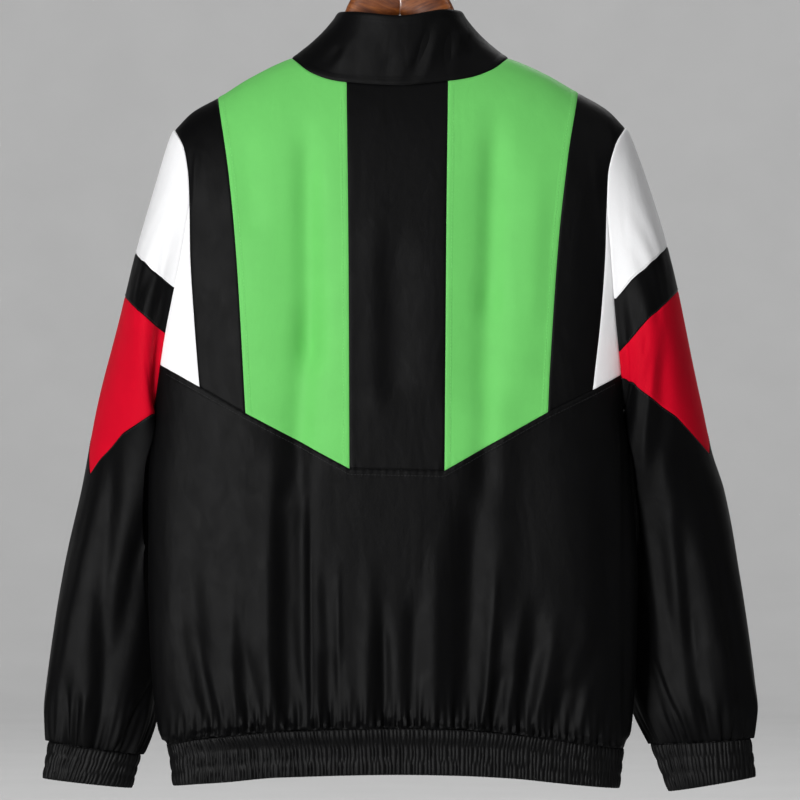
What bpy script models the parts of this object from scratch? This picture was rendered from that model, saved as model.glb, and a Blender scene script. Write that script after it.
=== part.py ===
"""A windbreaker hung on a wooden hanger, seen from its back along +Y.

The origin is where a rail holds the hook: +Z is up, the garment's back faces -Y and its front +Y,
and the wearer's right is at +X. Sizes below are in millimetres.
"""

import itertools
import math

import bpy
import numpy as np

MM = 0.001
WALL = 1.5
SEAM = 0.3
SLEEVE_DRAWN = 0.25
NORMAL_STEP = 0.4
ANGLE_STEP = 0.02
SHARE_STEP = 0.004
MITRE_REACH = 9.0
DIAGONAL_ORDER = np.array([0.37, 0.11, 1.0])

# Body
CREST_RADIUS = 18.5
LEAST_CREST_DROP = 60.0
SECTION_POWER = 2.35
NECK_HALF_WIDTH = 110.2
NECK_SIDE_HEIGHT = -164.0
NECK_FRONT_DROP = 86.0
NECK_FRONT_POWER = 2.5
YOKE_END_HEIGHT = {"left": -477.1, "right": -487.3}
WEDGE_TOP_HEIGHT = -322.0
ARMHOLE_SPLIT_HEIGHT = -314.0
UNDERARM_HEIGHT = -523.0

# Gathers above the hem band
BACK_GATHERS = 28
FRONT_GATHERS = 12
GATHER_DEPTH = 2.2
GATHER_LENGTH = 50.0

# Hem band and cuffs
BAND_RIBS = 76
CUFF_RIBS = 24
RIB_HEIGHT = 0.6

# Zip
ZIP_HALF_SLOT = 4.0
TAPE_INNER = 1.8
TAPE_OUTER = 15.0
TAPE_DEPTH = 2.3
TAPE_WALL = 1.0
CHAIN_HALF_WIDTH = 2.6
CHAIN_RAISED = 0.6
CHAIN_WALL = 2.4

# Hook
WIRE_RADIUS = 2.2
HOOK_RADIUS = 19.0
BORE_RADIUS = 2.5
BORE_LENGTH = 60.0
BORE_MIDDLE = -65.0


def table(columns, *rows):
    """Rows of sizes under their column names."""
    return {name: np.array(values, float) for name, values in zip(columns, zip(*rows))}


SHOULDER = table(
    ("across", "height"),
    (-229.5, -237.4),
    (-211.1, -219.1),
    (-185.6, -204.8),
    (-153.0, -184.4),
    (-112.0, -164.8),
    (-60.0, -150.0),
    (0.0, -145.0),
    (60.0, -150.0),
    (112.0, -164.8),
    (145.9, -179.3),
    (181.6, -199.7),
    (211.1, -217.0),
    (229.5, -235.4),
)
BACK_NECK = table(
    ("across", "height"),
    (-110.2, -164.0),
    (-91.8, -179.3),
    (-71.4, -187.5),
    (-54.1, -190.5),
    (-1.0, -193.6),
    (48.7, -189.2),
    (71.4, -185.4),
    (94.9, -176.2),
    (110.2, -164.0),
)
# The body's widest line on each side, and its depth behind and before the middle plane.
BODY = table(
    ("height", "left", "right", "back", "front"),
    (-145.0, -250.0, 245.0, 60.0, 60.0),
    (-235.0, -250.0, 243.0, 61.0, 60.0),
    (-330.0, -250.0, 240.0, 64.0, 62.0),
    (-410.0, -250.5, 236.0, 66.0, 64.0),
    (-487.0, -251.5, 231.0, 66.0, 66.0),
    (-523.0, -251.0, 228.5, 65.0, 66.0),
    (-549.6, -253.5, 232.5, 65.0, 66.0),
    (-592.4, -256.5, 236.0, 64.0, 66.0),
    (-635.2, -257.0, 239.7, 63.0, 65.0),
    (-692.4, -257.0, 242.8, 62.0, 64.0),
    (-735.2, -256.5, 242.3, 61.0, 63.0),
    (-778.0, -254.6, 241.4, 60.0, 62.0),
    (-835.2, -249.4, 237.7, 58.0, 60.0),
    (-852.5, -246.5, 235.5, 56.0, 58.0),
    (-861.0, -240.0, 230.5, 53.0, 55.0),
    (-868.0, -236.6, 228.5, 51.0, 53.0),
    (-912.0, -230.8, 223.5, 50.0, 52.0),
)
# The armhole seam below the point where it leaves the wedge's inner edge.
ARMHOLE_LEFT = table(
    ("height", "across"),
    (-314.0, -213.7),
    (-322.0, -214.8),
    (-360.0, -221.5),
    (-399.6, -229.5),
    (-444.5, -238.7),
    (-477.1, -244.1),
    (-523.0, -251.0),
)
ARMHOLE_RIGHT = table(
    ("height", "across"),
    (-314.0, 209.9),
    (-322.0, 210.5),
    (-360.0, 213.6),
    (-412.9, 217.6),
    (-487.3, 225.1),
    (-523.0, 228.5),
)
# Seams that run down the upper back.
WEDGE_LEFT = table(
    ("height", "across"),
    (-237.4, -229.5),
    (-257.8, -219.3),
    (-291.5, -214.4),
    (-314.0, -213.7),
    (-322.0, -213.5),
    (-360.0, -213.0),
    (-428.0, -209.0),
    (-499.6, -203.3),
)
WEDGE_RIGHT = table(
    ("height", "across"),
    (-235.4, 229.5),
    (-252.7, 219.3),
    (-285.0, 211.2),
    (-314.0, 209.9),
    (-322.0, 209.5),
    (-360.0, 208.6),
    (-428.0, 204.0),
    (-502.6, 195.5),
)
GREEN_LEFT = table(
    ("height", "across"),
    (-204.8, -185.6),
    (-285.4, -173.4),
    (-373.1, -165.2),
    (-526.1, -156.4),
)
GREEN_RIGHT = table(
    ("height", "across"),
    (-199.7, 181.6),
    (-268.0, 170.0),
    (-366.9, 159.8),
    (-525.1, 149.6),
)
CENTER_LEFT = table(
    ("height", "across"),
    (-189.5, -54.1),
    (-359.8, -52.0),
    (-582.2, -51.0),
)
CENTER_RIGHT = table(
    ("height", "across"),
    (-189.5, 48.7),
    (-326.2, 46.9),
    (-461.8, 45.9),
    (-584.2, 44.9),
)
YOKE = table(
    ("across", "height"),
    (-244.1, -477.1),
    (-203.3, -499.6),
    (-156.4, -526.1),
    (-51.0, -582.2),
    (44.9, -584.2),
    (149.6, -525.1),
    (195.5, -502.6),
    (225.1, -487.3),
)
BACK_BAND = table(
    ("across", "top", "bottom"),
    (-236.6, -863.3, -906.6),
    (-207.0, -858.1, -903.3),
    (-179.5, -854.5, -901.0),
    (-122.4, -848.4, -895.4),
    (0.0, -844.9, -892.3),
    (57.1, -846.4, -893.3),
    (114.2, -851.5, -896.4),
    (160.1, -857.6, -901.5),
    (200.0, -863.7, -906.0),
    (228.5, -867.8, -909.0),
)
FRONT_BAND = table(
    ("across", "top", "bottom"),
    (-236.6, -863.3, -906.6),
    (-200.0, -857.5, -902.5),
    (-120.0, -850.5, -897.0),
    (0.0, -847.5, -895.0),
    (120.0, -853.5, -898.5),
    (200.0, -863.9, -906.2),
    (228.5, -867.8, -909.0),
)

# Heights at which the armhole's two sides share their points, as drops below the shoulder tip.
ARMHOLE_DROPS = (0.0, 1.5, 6.0, 16.0, 34.0, 58.0, 86.0, 120.0, 162.0, 186.0, 209.0)
BACK_NECK_STATIONS = (
    *(-110.2, -101.0, -91.0, -72.0, -54.1),
    *(-36.0, -18.0, 0.0, 16.0, 32.0),
    *(48.7, 66.0, 82.0, 97.0, 110.2),
)
GREEN_SHOULDER_STATIONS = (128.0, 147.0, 165.0)
FRONT_NECK_STATIONS = (18.0, 36.0, 54.0, 72.0, 88.0, 100.0, 110.2)
COLLAR_SHARES = (0.0, 0.16, 0.4, 0.7, 1.0)
PLACKET = 18.0

# Soft troughs of the back: where each one starts and ends, its width and its depth.
BACK_FOLDS = table(
    ("top_across", "top_height", "bottom_across", "bottom_height", "width", "depth"),
    (-102.0, -270.0, -110.0, -560.0, 30.0, 6.0),
    (95.0, -240.0, 84.0, -500.0, 30.0, 6.0),
    (-8.0, -330.0, -6.0, -500.0, 22.0, 3.0),
    (160.0, -260.0, 150.0, -500.0, 20.0, 2.5),
    (-214.0, -720.0, -191.0, -850.0, 12.0, 4.0),
    (-162.0, -750.0, -148.0, -850.0, 11.0, 4.5),
    (-114.0, -570.0, -112.0, -840.0, 17.0, 9.0),
    (-74.0, -755.0, -68.0, -845.0, 10.0, 4.0),
    (-18.0, -730.0, -15.0, -845.0, 9.0, 3.5),
    (16.0, -700.0, 11.0, -845.0, 10.0, 4.0),
    (78.0, -575.0, 66.0, -840.0, 17.0, 9.0),
    (107.0, -775.0, 95.0, -850.0, 9.0, 4.0),
    (144.0, -740.0, 122.0, -850.0, 12.0, 4.5),
    (170.0, -790.0, 153.0, -855.0, 10.0, 3.5),
    (200.0, -745.0, 170.0, -855.0, 12.0, 4.0),
)
FRONT_FOLDS = table(
    ("top_across", "top_height", "bottom_across", "bottom_height", "width", "depth"),
    (-170.0, -300.0, -120.0, -560.0, 24.0, 5.0),
    (165.0, -300.0, 112.0, -580.0, 24.0, 5.0),
    (-96.0, -520.0, -92.0, -850.0, 18.0, 6.0),
    (88.0, -560.0, 98.0, -850.0, 18.0, 6.0),
    (-48.0, -700.0, -46.0, -855.0, 12.0, 4.0),
    (50.0, -680.0, 44.0, -855.0, 12.0, 4.0),
    (-180.0, -640.0, -160.0, -855.0, 14.0, 5.0),
    (176.0, -660.0, 150.0, -855.0, 14.0, 5.0),
    (-136.0, -740.0, -128.0, -855.0, 11.0, 4.0),
    (134.0, -760.0, 122.0, -855.0, 11.0, 4.0),
)

# Each sleeve's outer and inner line, and its half depth, by share of its length.
SLEEVE_LEFT = table(
    ("share", "out_across", "out_depth", "out_height", "in_across", "in_depth", "in_height", "half_depth"),
    (0.00, -229.5, 0.0, -237.4, -251.0, 0.0, -523.0, 38.0),
    (0.05, -242.8, 3.0, -271.1, -252.0, 4.0, -524.0, 44.0),
    (0.10, -251.9, 6.0, -299.7, -252.0, 10.0, -526.0, 50.0),
    (0.20, -270.3, 12.0, -362.4, -250.0, 24.0, -531.0, 58.0),
    (0.27, -281.5, 16.0, -407.8, -246.0, 36.0, -538.0, 62.0),
    (0.41, -300.9, 24.0, -492.4, -236.0, 58.0, -562.0, 64.0),
    (0.565, -318.2, 30.0, -589.3, -232.0, 72.0, -612.0, 60.0),
    (0.685, -335.6, 33.0, -663.8, -234.0, 74.0, -674.0, 56.0),
    (0.79, -350.9, 35.0, -732.1, -238.0, 70.0, -737.0, 50.0),
    (0.87, -359.4, 36.0, -781.1, -243.0, 62.0, -786.0, 44.0),
    (0.95, -365.2, 37.0, -829.0, -249.0, 52.0, -838.0, 36.0),
    (0.985, -366.0, 37.0, -855.0, -253.0, 47.0, -862.0, 29.0),
    (1.00, -360.5, 37.0, -862.5, -266.0, 44.0, -877.0, 21.0),
)
SLEEVE_RIGHT = table(
    ("share", "out_across", "out_depth", "out_height", "in_across", "in_depth", "in_height", "half_depth"),
    (0.00, 229.5, 0.0, -235.4, 228.5, 0.0, -523.0, 38.0),
    (0.063, 246.8, 3.5, -274.2, 229.5, 6.0, -525.0, 46.0),
    (0.12, 260.1, 8.0, -309.9, 229.0, 14.0, -528.0, 52.0),
    (0.193, 273.4, 12.0, -355.8, 227.0, 24.0, -532.0, 58.0),
    (0.267, 284.6, 16.0, -401.7, 222.0, 36.0, -539.0, 62.0),
    (0.444, 306.0, 25.0, -512.8, 213.0, 60.0, -574.0, 64.0),
    (0.53, 317.2, 28.0, -566.9, 212.0, 68.0, -604.0, 61.0),
    (0.593, 330.0, 30.0, -606.7, 213.0, 73.0, -634.0, 59.0),
    (0.725, 346.8, 34.0, -689.3, 217.0, 73.0, -702.0, 54.0),
    (0.821, 357.0, 36.0, -749.5, 222.0, 68.0, -760.0, 48.0),
    (0.902, 364.1, 37.0, -800.5, 232.0, 58.0, -812.0, 41.0),
    (0.948, 367.2, 37.0, -829.0, 241.0, 52.0, -838.0, 36.0),
    (0.985, 366.2, 37.0, -852.5, 251.0, 47.0, -858.0, 29.0),
    (1.00, 360.0, 37.0, -860.0, 257.0, 44.0, -866.0, 21.0),
)
CUFF_LEFT = (-366.8, 37.0, -901.0, -275.4, 44.0, -911.5, 18.0)
CUFF_RIGHT = (365.2, 37.0, -899.5, 276.0, 44.0, -915.0, 18.0)
# Troughs that run down each sleeve: angle round it, shares where they start and end, width and depth.
SLEEVE_FOLDS = table(
    ("angle", "from_share", "to_share", "width", "depth"),
    (88.0, 0.50, 0.97, 14.0, 6.0),
    (140.0, 0.34, 0.70, 14.0, 4.0),
    (40.0, 0.86, 0.99, 10.0, 3.5),
    (-70.0, 0.45, 0.96, 14.0, 5.0),
    (-125.0, 0.40, 0.80, 14.0, 4.0),
    (-30.0, 0.88, 0.99, 10.0, 3.0),
)
SLEEVE_GATHERS = 12
# How far the sleeve stands out from the armhole before it turns down, and over which share of its length.
SLEEVE_ROOT = 12.0
SLEEVE_ROOT_SHARE = 0.09

HANGER = table(
    ("across", "below_shoulder", "top", "drop", "half_thickness"),
    (0.15, 0.0, -62.0, 58.0, 7.5),
    (14.0, 0.0, -64.0, 62.0, 7.5),
    (32.0, 0.0, -77.0, 63.0, 7.6),
    (46.0, 0.0, -97.0, 58.0, 7.8),
    (56.0, 0.0, -116.0, 53.0, 8.0),
    (61.0, 0.0, -138.0, 44.0, 8.2),
    (76.0, 0.0, -156.5, 42.0, 8.8),
    (96.0, 0.0, -166.0, 42.0, 9.4),
    (114.0, 3.9, 0.0, 42.0, 10.0),
    (150.0, 3.4, 0.0, 39.0, 11.0),
    (182.0, 3.4, 0.0, 35.0, 11.8),
    (206.0, 4.4, 0.0, 29.0, 11.4),
    (216.0, 6.9, 0.0, 21.0, 8.5),
    (220.0, 10.9, 0.0, 12.0, 5.0),
)
HANGER_SIDES = 12


def curve(xs, ys):
    """A smooth line through a table's points that never overshoots them."""
    if xs[0] > xs[-1]:
        xs, ys = xs[::-1], ys[::-1]
    step = np.diff(xs)
    slope = np.diff(ys) / step
    bend = np.zeros(len(xs))
    bend[0] = slope[0]
    bend[-1] = slope[-1]
    for i in range(1, len(slope)):
        if slope[i - 1] * slope[i] > 0:
            bend[i] = 2 * slope[i - 1] * slope[i] / (slope[i - 1] + slope[i])

    def at(x):
        x = np.clip(x, xs[0], xs[-1])
        i = np.clip(np.searchsorted(xs, x, side="right") - 1, 0, len(step) - 1)
        t = (x - xs[i]) / step[i]
        rise = (3 - 2 * t) * t * t
        start = t * (1 - t) ** 2
        end = t * t * (t - 1)
        return ys[i] + (ys[i + 1] - ys[i]) * rise + step[i] * (start * bend[i] + end * bend[i + 1])

    return at


def polyline(xs, ys):
    return lambda x: np.interp(x, xs, ys)


def ease(t):
    t = np.clip(t, 0, 1)
    return t * t * (3 - 2 * t)


shoulder = curve(SHOULDER["across"], SHOULDER["height"])
back_neck = curve(BACK_NECK["across"], BACK_NECK["height"])
left_edge = curve(BODY["height"], BODY["left"])
right_edge = curve(BODY["height"], BODY["right"])
back_depth = curve(BODY["height"], BODY["back"])
front_depth = curve(BODY["height"], BODY["front"])
yoke = polyline(YOKE["across"], YOKE["height"])
back_band_top = curve(BACK_BAND["across"], BACK_BAND["top"])
back_band_bottom = curve(BACK_BAND["across"], BACK_BAND["bottom"])
front_band_top = curve(FRONT_BAND["across"], FRONT_BAND["top"])
front_band_bottom = curve(FRONT_BAND["across"], FRONT_BAND["bottom"])
wedge_line = {
    "left": curve(WEDGE_LEFT["height"], WEDGE_LEFT["across"]),
    "right": curve(WEDGE_RIGHT["height"], WEDGE_RIGHT["across"]),
}
lower_armhole = {
    "left": curve(ARMHOLE_LEFT["height"], ARMHOLE_LEFT["across"]),
    "right": curve(ARMHOLE_RIGHT["height"], ARMHOLE_RIGHT["across"]),
}
green_line = {
    "left": curve(GREEN_LEFT["height"], GREEN_LEFT["across"]),
    "right": curve(GREEN_RIGHT["height"], GREEN_RIGHT["across"]),
}
center_line = {
    "left": curve(CENTER_LEFT["height"], CENTER_LEFT["across"]),
    "right": curve(CENTER_RIGHT["height"], CENTER_RIGHT["across"]),
}
tip_height = {"left": WEDGE_LEFT["height"][0], "right": WEDGE_RIGHT["height"][0]}


def armhole_across(side, z):
    return np.where(z > ARMHOLE_SPLIT_HEIGHT, wedge_line[side](z), lower_armhole[side](z))


def armhole_heights(side):
    """Heights of the armhole's stations, from the shoulder tip to the underarm."""
    yoke_end = YOKE_END_HEIGHT[side]
    drops = [tip_height[side] - d for d in ARMHOLE_DROPS]
    above = [height for height in drops if height > yoke_end + 4]
    return above + [yoke_end, (yoke_end + UNDERARM_HEIGHT) / 2, UNDERARM_HEIGHT]


armhole = {side: (lambda z, side=side: armhole_across(side, z)) for side in ("left", "right")}


def front_neck(x):
    share = np.clip(np.abs(x) / NECK_HALF_WIDTH, 0, 1)
    return NECK_SIDE_HEIGHT - NECK_FRONT_DROP * (1 - share**NECK_FRONT_POWER)


def back_top(x):
    return np.where(np.abs(x) < NECK_HALF_WIDTH, back_neck(x), shoulder(x))


def front_top(x):
    return np.where(np.abs(x) < NECK_HALF_WIDTH, front_neck(x), shoulder(x))


def half_depth(x, z, facing):
    """How far the cloth lies from the middle plane: facing is -1 for the back and 1 for the front."""
    left = left_edge(z)
    right = right_edge(z)
    middle = (left + right) / 2
    share = np.clip(np.abs(x - middle) / ((right - left) / 2), 0, 1)
    full = np.where(facing < 0, back_depth(z), front_depth(z))
    flat = full * (1 - share**SECTION_POWER) ** (1 / SECTION_POWER)
    drop = np.maximum(LEAST_CREST_DROP, flat**2 / CREST_RADIUS)
    t = np.clip((shoulder(x) - z) / drop, 0, 1)
    return flat * np.sqrt(1 - (1 - t) ** 2)


def body_normal(x, z, facing):
    """The outward direction of the unfolded cloth."""
    e = NORMAL_STEP
    square_x = (half_depth(x + e, z, facing) ** 2 - half_depth(x - e, z, facing) ** 2) / (2 * e)
    square_z = (half_depth(x, z + e, facing) ** 2 - half_depth(x, z - e, facing) ** 2) / (2 * e)
    normal = np.stack([-square_x, 2 * facing * half_depth(x, z, facing), -square_z], -1)
    return normal / np.linalg.norm(normal, axis=-1, keepdims=True)


def fold_depth(folds, x, z):
    """How far the table's troughs draw the cloth in at a place."""
    depth = np.zeros(np.broadcast(x, z).shape)
    rows = zip(*(folds[name] for name in folds))
    for top_x, top_z, bottom_x, bottom_z, width, deepest in rows:
        along = (z - top_z) / (bottom_z - top_z)
        middle = top_x + (bottom_x - top_x) * along
        fade = ease(along / 0.35) * ease((1.12 - along) / 0.18)
        depth += deepest * fade * np.exp(-(((x - middle) / width) ** 2))
    return depth


def gather_depth(x, z, facing):
    """Small waves where the body is drawn into the hem band."""
    left = left_edge(z)
    right = right_edge(z)
    share = np.clip((x - (left + right) / 2) / ((right - left) / 2), -1, 1)
    turn = np.arcsin(share) / np.pi + 0.5
    count = BACK_GATHERS if facing < 0 else 2 * FRONT_GATHERS
    above = z - (back_band_top(x) if facing < 0 else front_band_top(x))
    uneven = 0.75 + 0.25 * np.sin(9.0 * turn * 2 * np.pi + 1.0)
    sides = ease(np.minimum(turn, 1 - turn) / 0.04)
    if facing > 0:
        sides = sides * ease((np.abs(x) - PLACKET) / 16)
    return GATHER_DEPTH * uneven * sides * np.exp(-above / GATHER_LENGTH) * np.cos(2 * np.pi * count * turn)


def body_points(x, z, facing):
    """Outer points of the folded cloth at the given places, and the directions its wall runs in."""
    x, z = np.broadcast_arrays(np.asarray(x, float), np.asarray(z, float))
    normal = body_normal(x, z, facing)
    y = facing * half_depth(x, z, facing)
    folds = BACK_FOLDS if facing < 0 else FRONT_FOLDS
    inward = fold_depth(folds, x, z)
    if facing > 0:
        inward = inward * ease((np.abs(x) - PLACKET) / 24)
    inward = inward * np.abs(normal[..., 1]) - gather_depth(x, z, facing)
    points = np.stack([x, y, z], -1)
    wall = normal
    for side in ("left", "right"):
        root_z = np.maximum(z, UNDERARM_HEIGHT)
        root_x = armhole[side](root_z)
        root = np.stack([root_x, facing * half_depth(root_x, root_z, facing), root_z], -1)
        wall = turned(wall, np.linalg.norm(points - root, axis=-1), *mitre(side, root_z, facing)[:2])
    return points - normal * inward[..., None], wall


def turned(wall, away, mitred, plain):
    """Turns a wall's directions towards a seam's mitre where it comes near the seam."""
    share = np.clip(1 - away / MITRE_REACH, 0, 1)[..., None]
    return wall + (mitred - plain) * share


def places(left, right, top, bottom, us, vs):
    """A grid of (across, height) between two seams, a top edge and a bottom edge."""
    u = np.asarray(us)[None, :]
    v = np.asarray(vs)[:, None]
    z = np.full((v.size, u.size), -500.0)
    for _ in range(60):
        x = left(z) + (right(z) - left(z)) * u
        z = top(x) + (bottom(x) - top(x)) * v
    return x, z


def shares_across(left, right, edge, stations):
    """The shares across a panel at which its edge passes the given stations."""
    xs = np.asarray(stations, float)
    zs = edge(xs)
    return (xs - left(zs)) / (right(zs) - left(zs))


def shares_down(side, top, bottom, heights):
    """The shares down a panel at which its side passes the given heights."""
    zs = np.asarray(heights, float)
    xs = side(zs)
    return (zs - top(xs)) / (bottom(xs) - top(xs))


def spread(start, end, count):
    return [start + (end - start) * i / count for i in range(count + 1)]


def drawn_in(points, by, closed):
    """Moves a grid's edge points inwards along the cloth, which leaves half a seam's gap."""
    moved = points.copy()

    def draw(edge, inner):
        way = inner - edge
        length = np.linalg.norm(way, axis=-1, keepdims=True)
        return way * np.minimum(by / np.maximum(length, 1e-9), 0.35)

    moved[0] += draw(points[0], points[1])
    moved[-1] += draw(points[-1], points[-2])
    if not closed:
        moved[:, 0] += draw(points[:, 0], points[:, 1])
        moved[:, -1] += draw(points[:, -1], points[:, -2])
    return moved


def material(name, colour, roughness, metallic=0.0):
    made = bpy.data.materials.get(name) or bpy.data.materials.new(name)
    made.use_nodes = True
    shader = made.node_tree.nodes["Principled BSDF"]
    shader.inputs["Base Color"].default_value = (*colour, 1.0)
    shader.inputs["Roughness"].default_value = roughness
    shader.inputs["Metallic"].default_value = metallic
    made.diffuse_color = (*colour, 1.0)
    return made


BLACK = ("black_fabric", (0.012, 0.012, 0.014), 0.55)
GREEN = ("green_fabric", (0.15, 0.62, 0.19), 0.55)
WHITE = ("white_fabric", (0.80, 0.80, 0.80), 0.55)
RED = ("red_fabric", (0.52, 0.03, 0.05), 0.55)
RIB = ("black_rib", (0.010, 0.010, 0.011), 0.75)
WOOD = ("red_brown_wood", (0.23, 0.065, 0.028), 0.35)
STEEL = ("steel", (0.60, 0.60, 0.62), 0.25, 1.0)
TAPE = ("zip_tape", (0.012, 0.012, 0.013), 0.7)
ZIP_METAL = ("zip_metal", (0.05, 0.05, 0.055), 0.4, 1.0)


def add_mesh(name, points, faces, look, origin=(0.0, 0.0, 0.0)):
    """One closed body with its faces out; points are in millimetres, in world space."""
    origin = np.array(origin, float)
    corners = []
    for face in faces:
        corners += [(face[0], face[i], face[i + 1]) for i in range(1, len(face) - 1)]
    flat = np.asarray(points)[np.array(corners)]
    if np.einsum("ij,ij->i", flat[:, 0], np.cross(flat[:, 1], flat[:, 2])).sum() < 0:
        faces = [face[::-1] for face in faces]
    mesh = bpy.data.meshes.new(name)
    mesh.from_pydata(((np.asarray(points) - origin) * MM).tolist(), [], faces)
    mesh.shade_smooth()
    mesh.set_sharp_from_angle(angle=math.radians(40))
    mesh.materials.append(material(*look))
    made = bpy.data.objects.new(name, mesh)
    made.location = origin * MM
    bpy.context.scene.collection.objects.link(made)
    return made


def add_wall(name, outer, inner, look, closed=False):
    """A cloth wall between two grids of points; closed joins the last column to the first."""
    rows, columns = outer.shape[:2]
    points = np.concatenate([outer.reshape(-1, 3), inner.reshape(-1, 3)])
    shift = rows * columns
    order = points @ DIAGONAL_ORDER
    faces = []
    across = columns if closed else columns - 1
    for i in range(rows - 1):
        for j in range(across):
            a = i * columns + j
            b = i * columns + (j + 1) % columns
            c = b + columns
            d = a + columns
            faces.append((a, b, c, d))
            faces.append((a + shift, d + shift, c + shift, b + shift))

    def rim(a, b):
        """The wall's thickness between two edge points, cut the same way by both pieces of a seam."""
        if order[a] > order[b]:
            faces.append((b, a, b + shift))
            faces.append((a, a + shift, b + shift))
        else:
            faces.append((b, a, a + shift))
            faces.append((b, a + shift, b + shift))

    for j in range(across):
        last = (rows - 1) * columns
        rim(j, (j + 1) % columns)
        rim(last + (j + 1) % columns, last + j)
    if not closed:
        for i in range(rows - 1):
            a = i * columns
            b = a + columns
            rim(b, a)
            rim(a + columns - 1, b + columns - 1)
    return add_mesh(name, points, faces, look)


def cloth(name, points, normals, look, closed=False, raised=None, drawn=SEAM / 2):
    """A cloth piece from its outer points, drawn in at its seams, with raised ribs if given."""
    outer = drawn_in(points, drawn, closed)
    inner = outer - normals * WALL
    if raised is not None:
        outer = outer + normals * raised[..., None]
    return add_wall(name, outer, inner, look, closed)


def back_panel(name, left, right, us, vs, look, top=back_top):
    x, z = places(left, right, top, yoke, us, vs)
    cloth(name, *body_points(x, z, -1), look)


def add_upper_back():
    vs = {}
    for side in ("left", "right"):
        heights = [h for h in armhole_heights(side) if h > WEDGE_TOP_HEIGHT + 8] + [WEDGE_TOP_HEIGHT]
        start = shares_down(wedge_line[side], shoulder, yoke, heights)
        vs[side] = list(start) + spread(start[-1], 1.0, 4)[1:]
    neck = np.array(BACK_NECK_STATIONS)
    inner_ends = CENTER_LEFT["across"][0] - 1, CENTER_RIGHT["across"][0] + 1
    middle = neck[(neck > inner_ends[0]) & (neck < inner_ends[1])]
    us = shares_across(center_line["left"], center_line["right"], back_neck, middle)
    us[0], us[-1] = 0.0, 1.0
    back_panel("back_center", center_line["left"], center_line["right"], us, vs["left"], BLACK)
    for side in ("left", "right"):
        outer, inner = green_line[side], center_line[side]
        if side == "left":
            stations = [*(-x for x in GREEN_SHOULDER_STATIONS), *neck[neck < inner_ends[0]]]
        else:
            stations = [*GREEN_SHOULDER_STATIONS, *neck[neck > inner_ends[1]]]
        us = [0.0, *sorted(shares_across(outer, inner, back_top, stations)), 1.0]
        back_panel(f"back_green_{side}", outer, inner, us, vs[side], GREEN)
        back_panel(f"back_side_{side}", wedge_line[side], outer, spread(0, 1, 3), vs[side], BLACK)
        heights = [h for h in armhole_heights(side) if YOKE_END_HEIGHT[side] + 1 < h < WEDGE_TOP_HEIGHT - 1]
        top = WEDGE_TOP_HEIGHT

        def wedge_top(x, top=top):
            return np.full(np.shape(x), top)

        shares = shares_down(armhole[side], wedge_top, yoke, heights)
        back_panel(
            f"back_wedge_{side}",
            armhole[side],
            wedge_line[side],
            (0.0, 0.22, 0.5, 0.75, 1.0),
            [0.0] + list(shares) + [1.0],
            WHITE,
            wedge_top,
        )


def side_line(side):
    """The armhole above the underarm and the side seam below it."""
    edge = left_edge if side == "left" else right_edge
    return lambda z: np.where(z > UNDERARM_HEIGHT, armhole[side](z), edge(z))


def add_lower_back():
    left, right = side_line("left"), side_line("right")
    us = np.array([(1 - math.cos(math.pi * i / (2 * BACK_GATHERS))) / 2 for i in range(2 * BACK_GATHERS + 1)])
    for u in shares_across(left, right, yoke, YOKE["across"][1:-1]):
        us[np.argmin(np.abs(us - u))] = u
    under = shares_down(left, yoke, back_band_top, armhole_heights("left")[-2:])
    other = shares_down(right, yoke, back_band_top, armhole_heights("right")[-2:])
    vs = sorted([0.0, *under, *other]) + [0.26, 0.42, 0.58, 0.72, 0.84, 0.93, 1.0]
    x, z = places(left, right, yoke, back_band_top, us, vs)
    cloth("back_lower", *body_points(x, z, -1), BLACK)


def front_rows(side):
    """Shares down the front: the armhole's stations, then the side seam."""
    vs = [0.0] + list(shares_down(side_line(side), front_top, front_band_top, armhole_heights(side)[1:]))
    return vs + [vs[-1] + (1 - vs[-1]) * t for t in (0.22, 0.44, 0.65, 0.82, 0.94, 1.0)]


def add_fronts():
    for side, sign in (("left", -1), ("right", 1)):
        outer = side_line(side)
        vs = front_rows(side)

        def slot(z, sign=sign):
            return np.full(np.shape(z), sign * ZIP_HALF_SLOT)

        def placket(z, sign=sign):
            return np.full(np.shape(z), sign * PLACKET)

        neck = shares_across(placket, outer, front_top, [sign * x for x in FRONT_NECK_STATIONS])
        rest = [math.sin(math.pi / 2 * i / 16) for i in range(17)]
        us = list(neck) + [u for u in rest if u > neck[-1] + 0.03]
        us[0] = 0.0
        x0, z0 = places(slot, placket, front_top, front_band_top, [0.0], vs)
        x, z = places(placket, outer, front_top, front_band_top, us, vs)
        x = np.concatenate([x0, x], 1)
        z = np.concatenate([z0, z], 1)
        cloth(f"front_{side}", *body_points(x, z, 1), BLACK)


COLLAR_TOP = table(
    ("turn", "height"),
    (0.0, -180.0),
    (35.0, -172.0),
    (68.0, -146.0),
    (90.0, -122.0),
    (108.0, -115.6),
    (135.0, -115.6),
    (180.0, -122.8),
    (225.0, -118.0),
    (252.0, -116.8),
    (270.0, -120.0),
    (292.0, -145.0),
    (325.0, -172.0),
    (360.0, -180.0),
)
COLLAR_HALF_WIDTH = 63.5
COLLAR_HALF_DEPTH = 66.0
COLLAR_FORWARD = 27.0
COLLAR_POWER = 2.7
collar_top_height = curve(COLLAR_TOP["turn"], COLLAR_TOP["height"])


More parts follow.
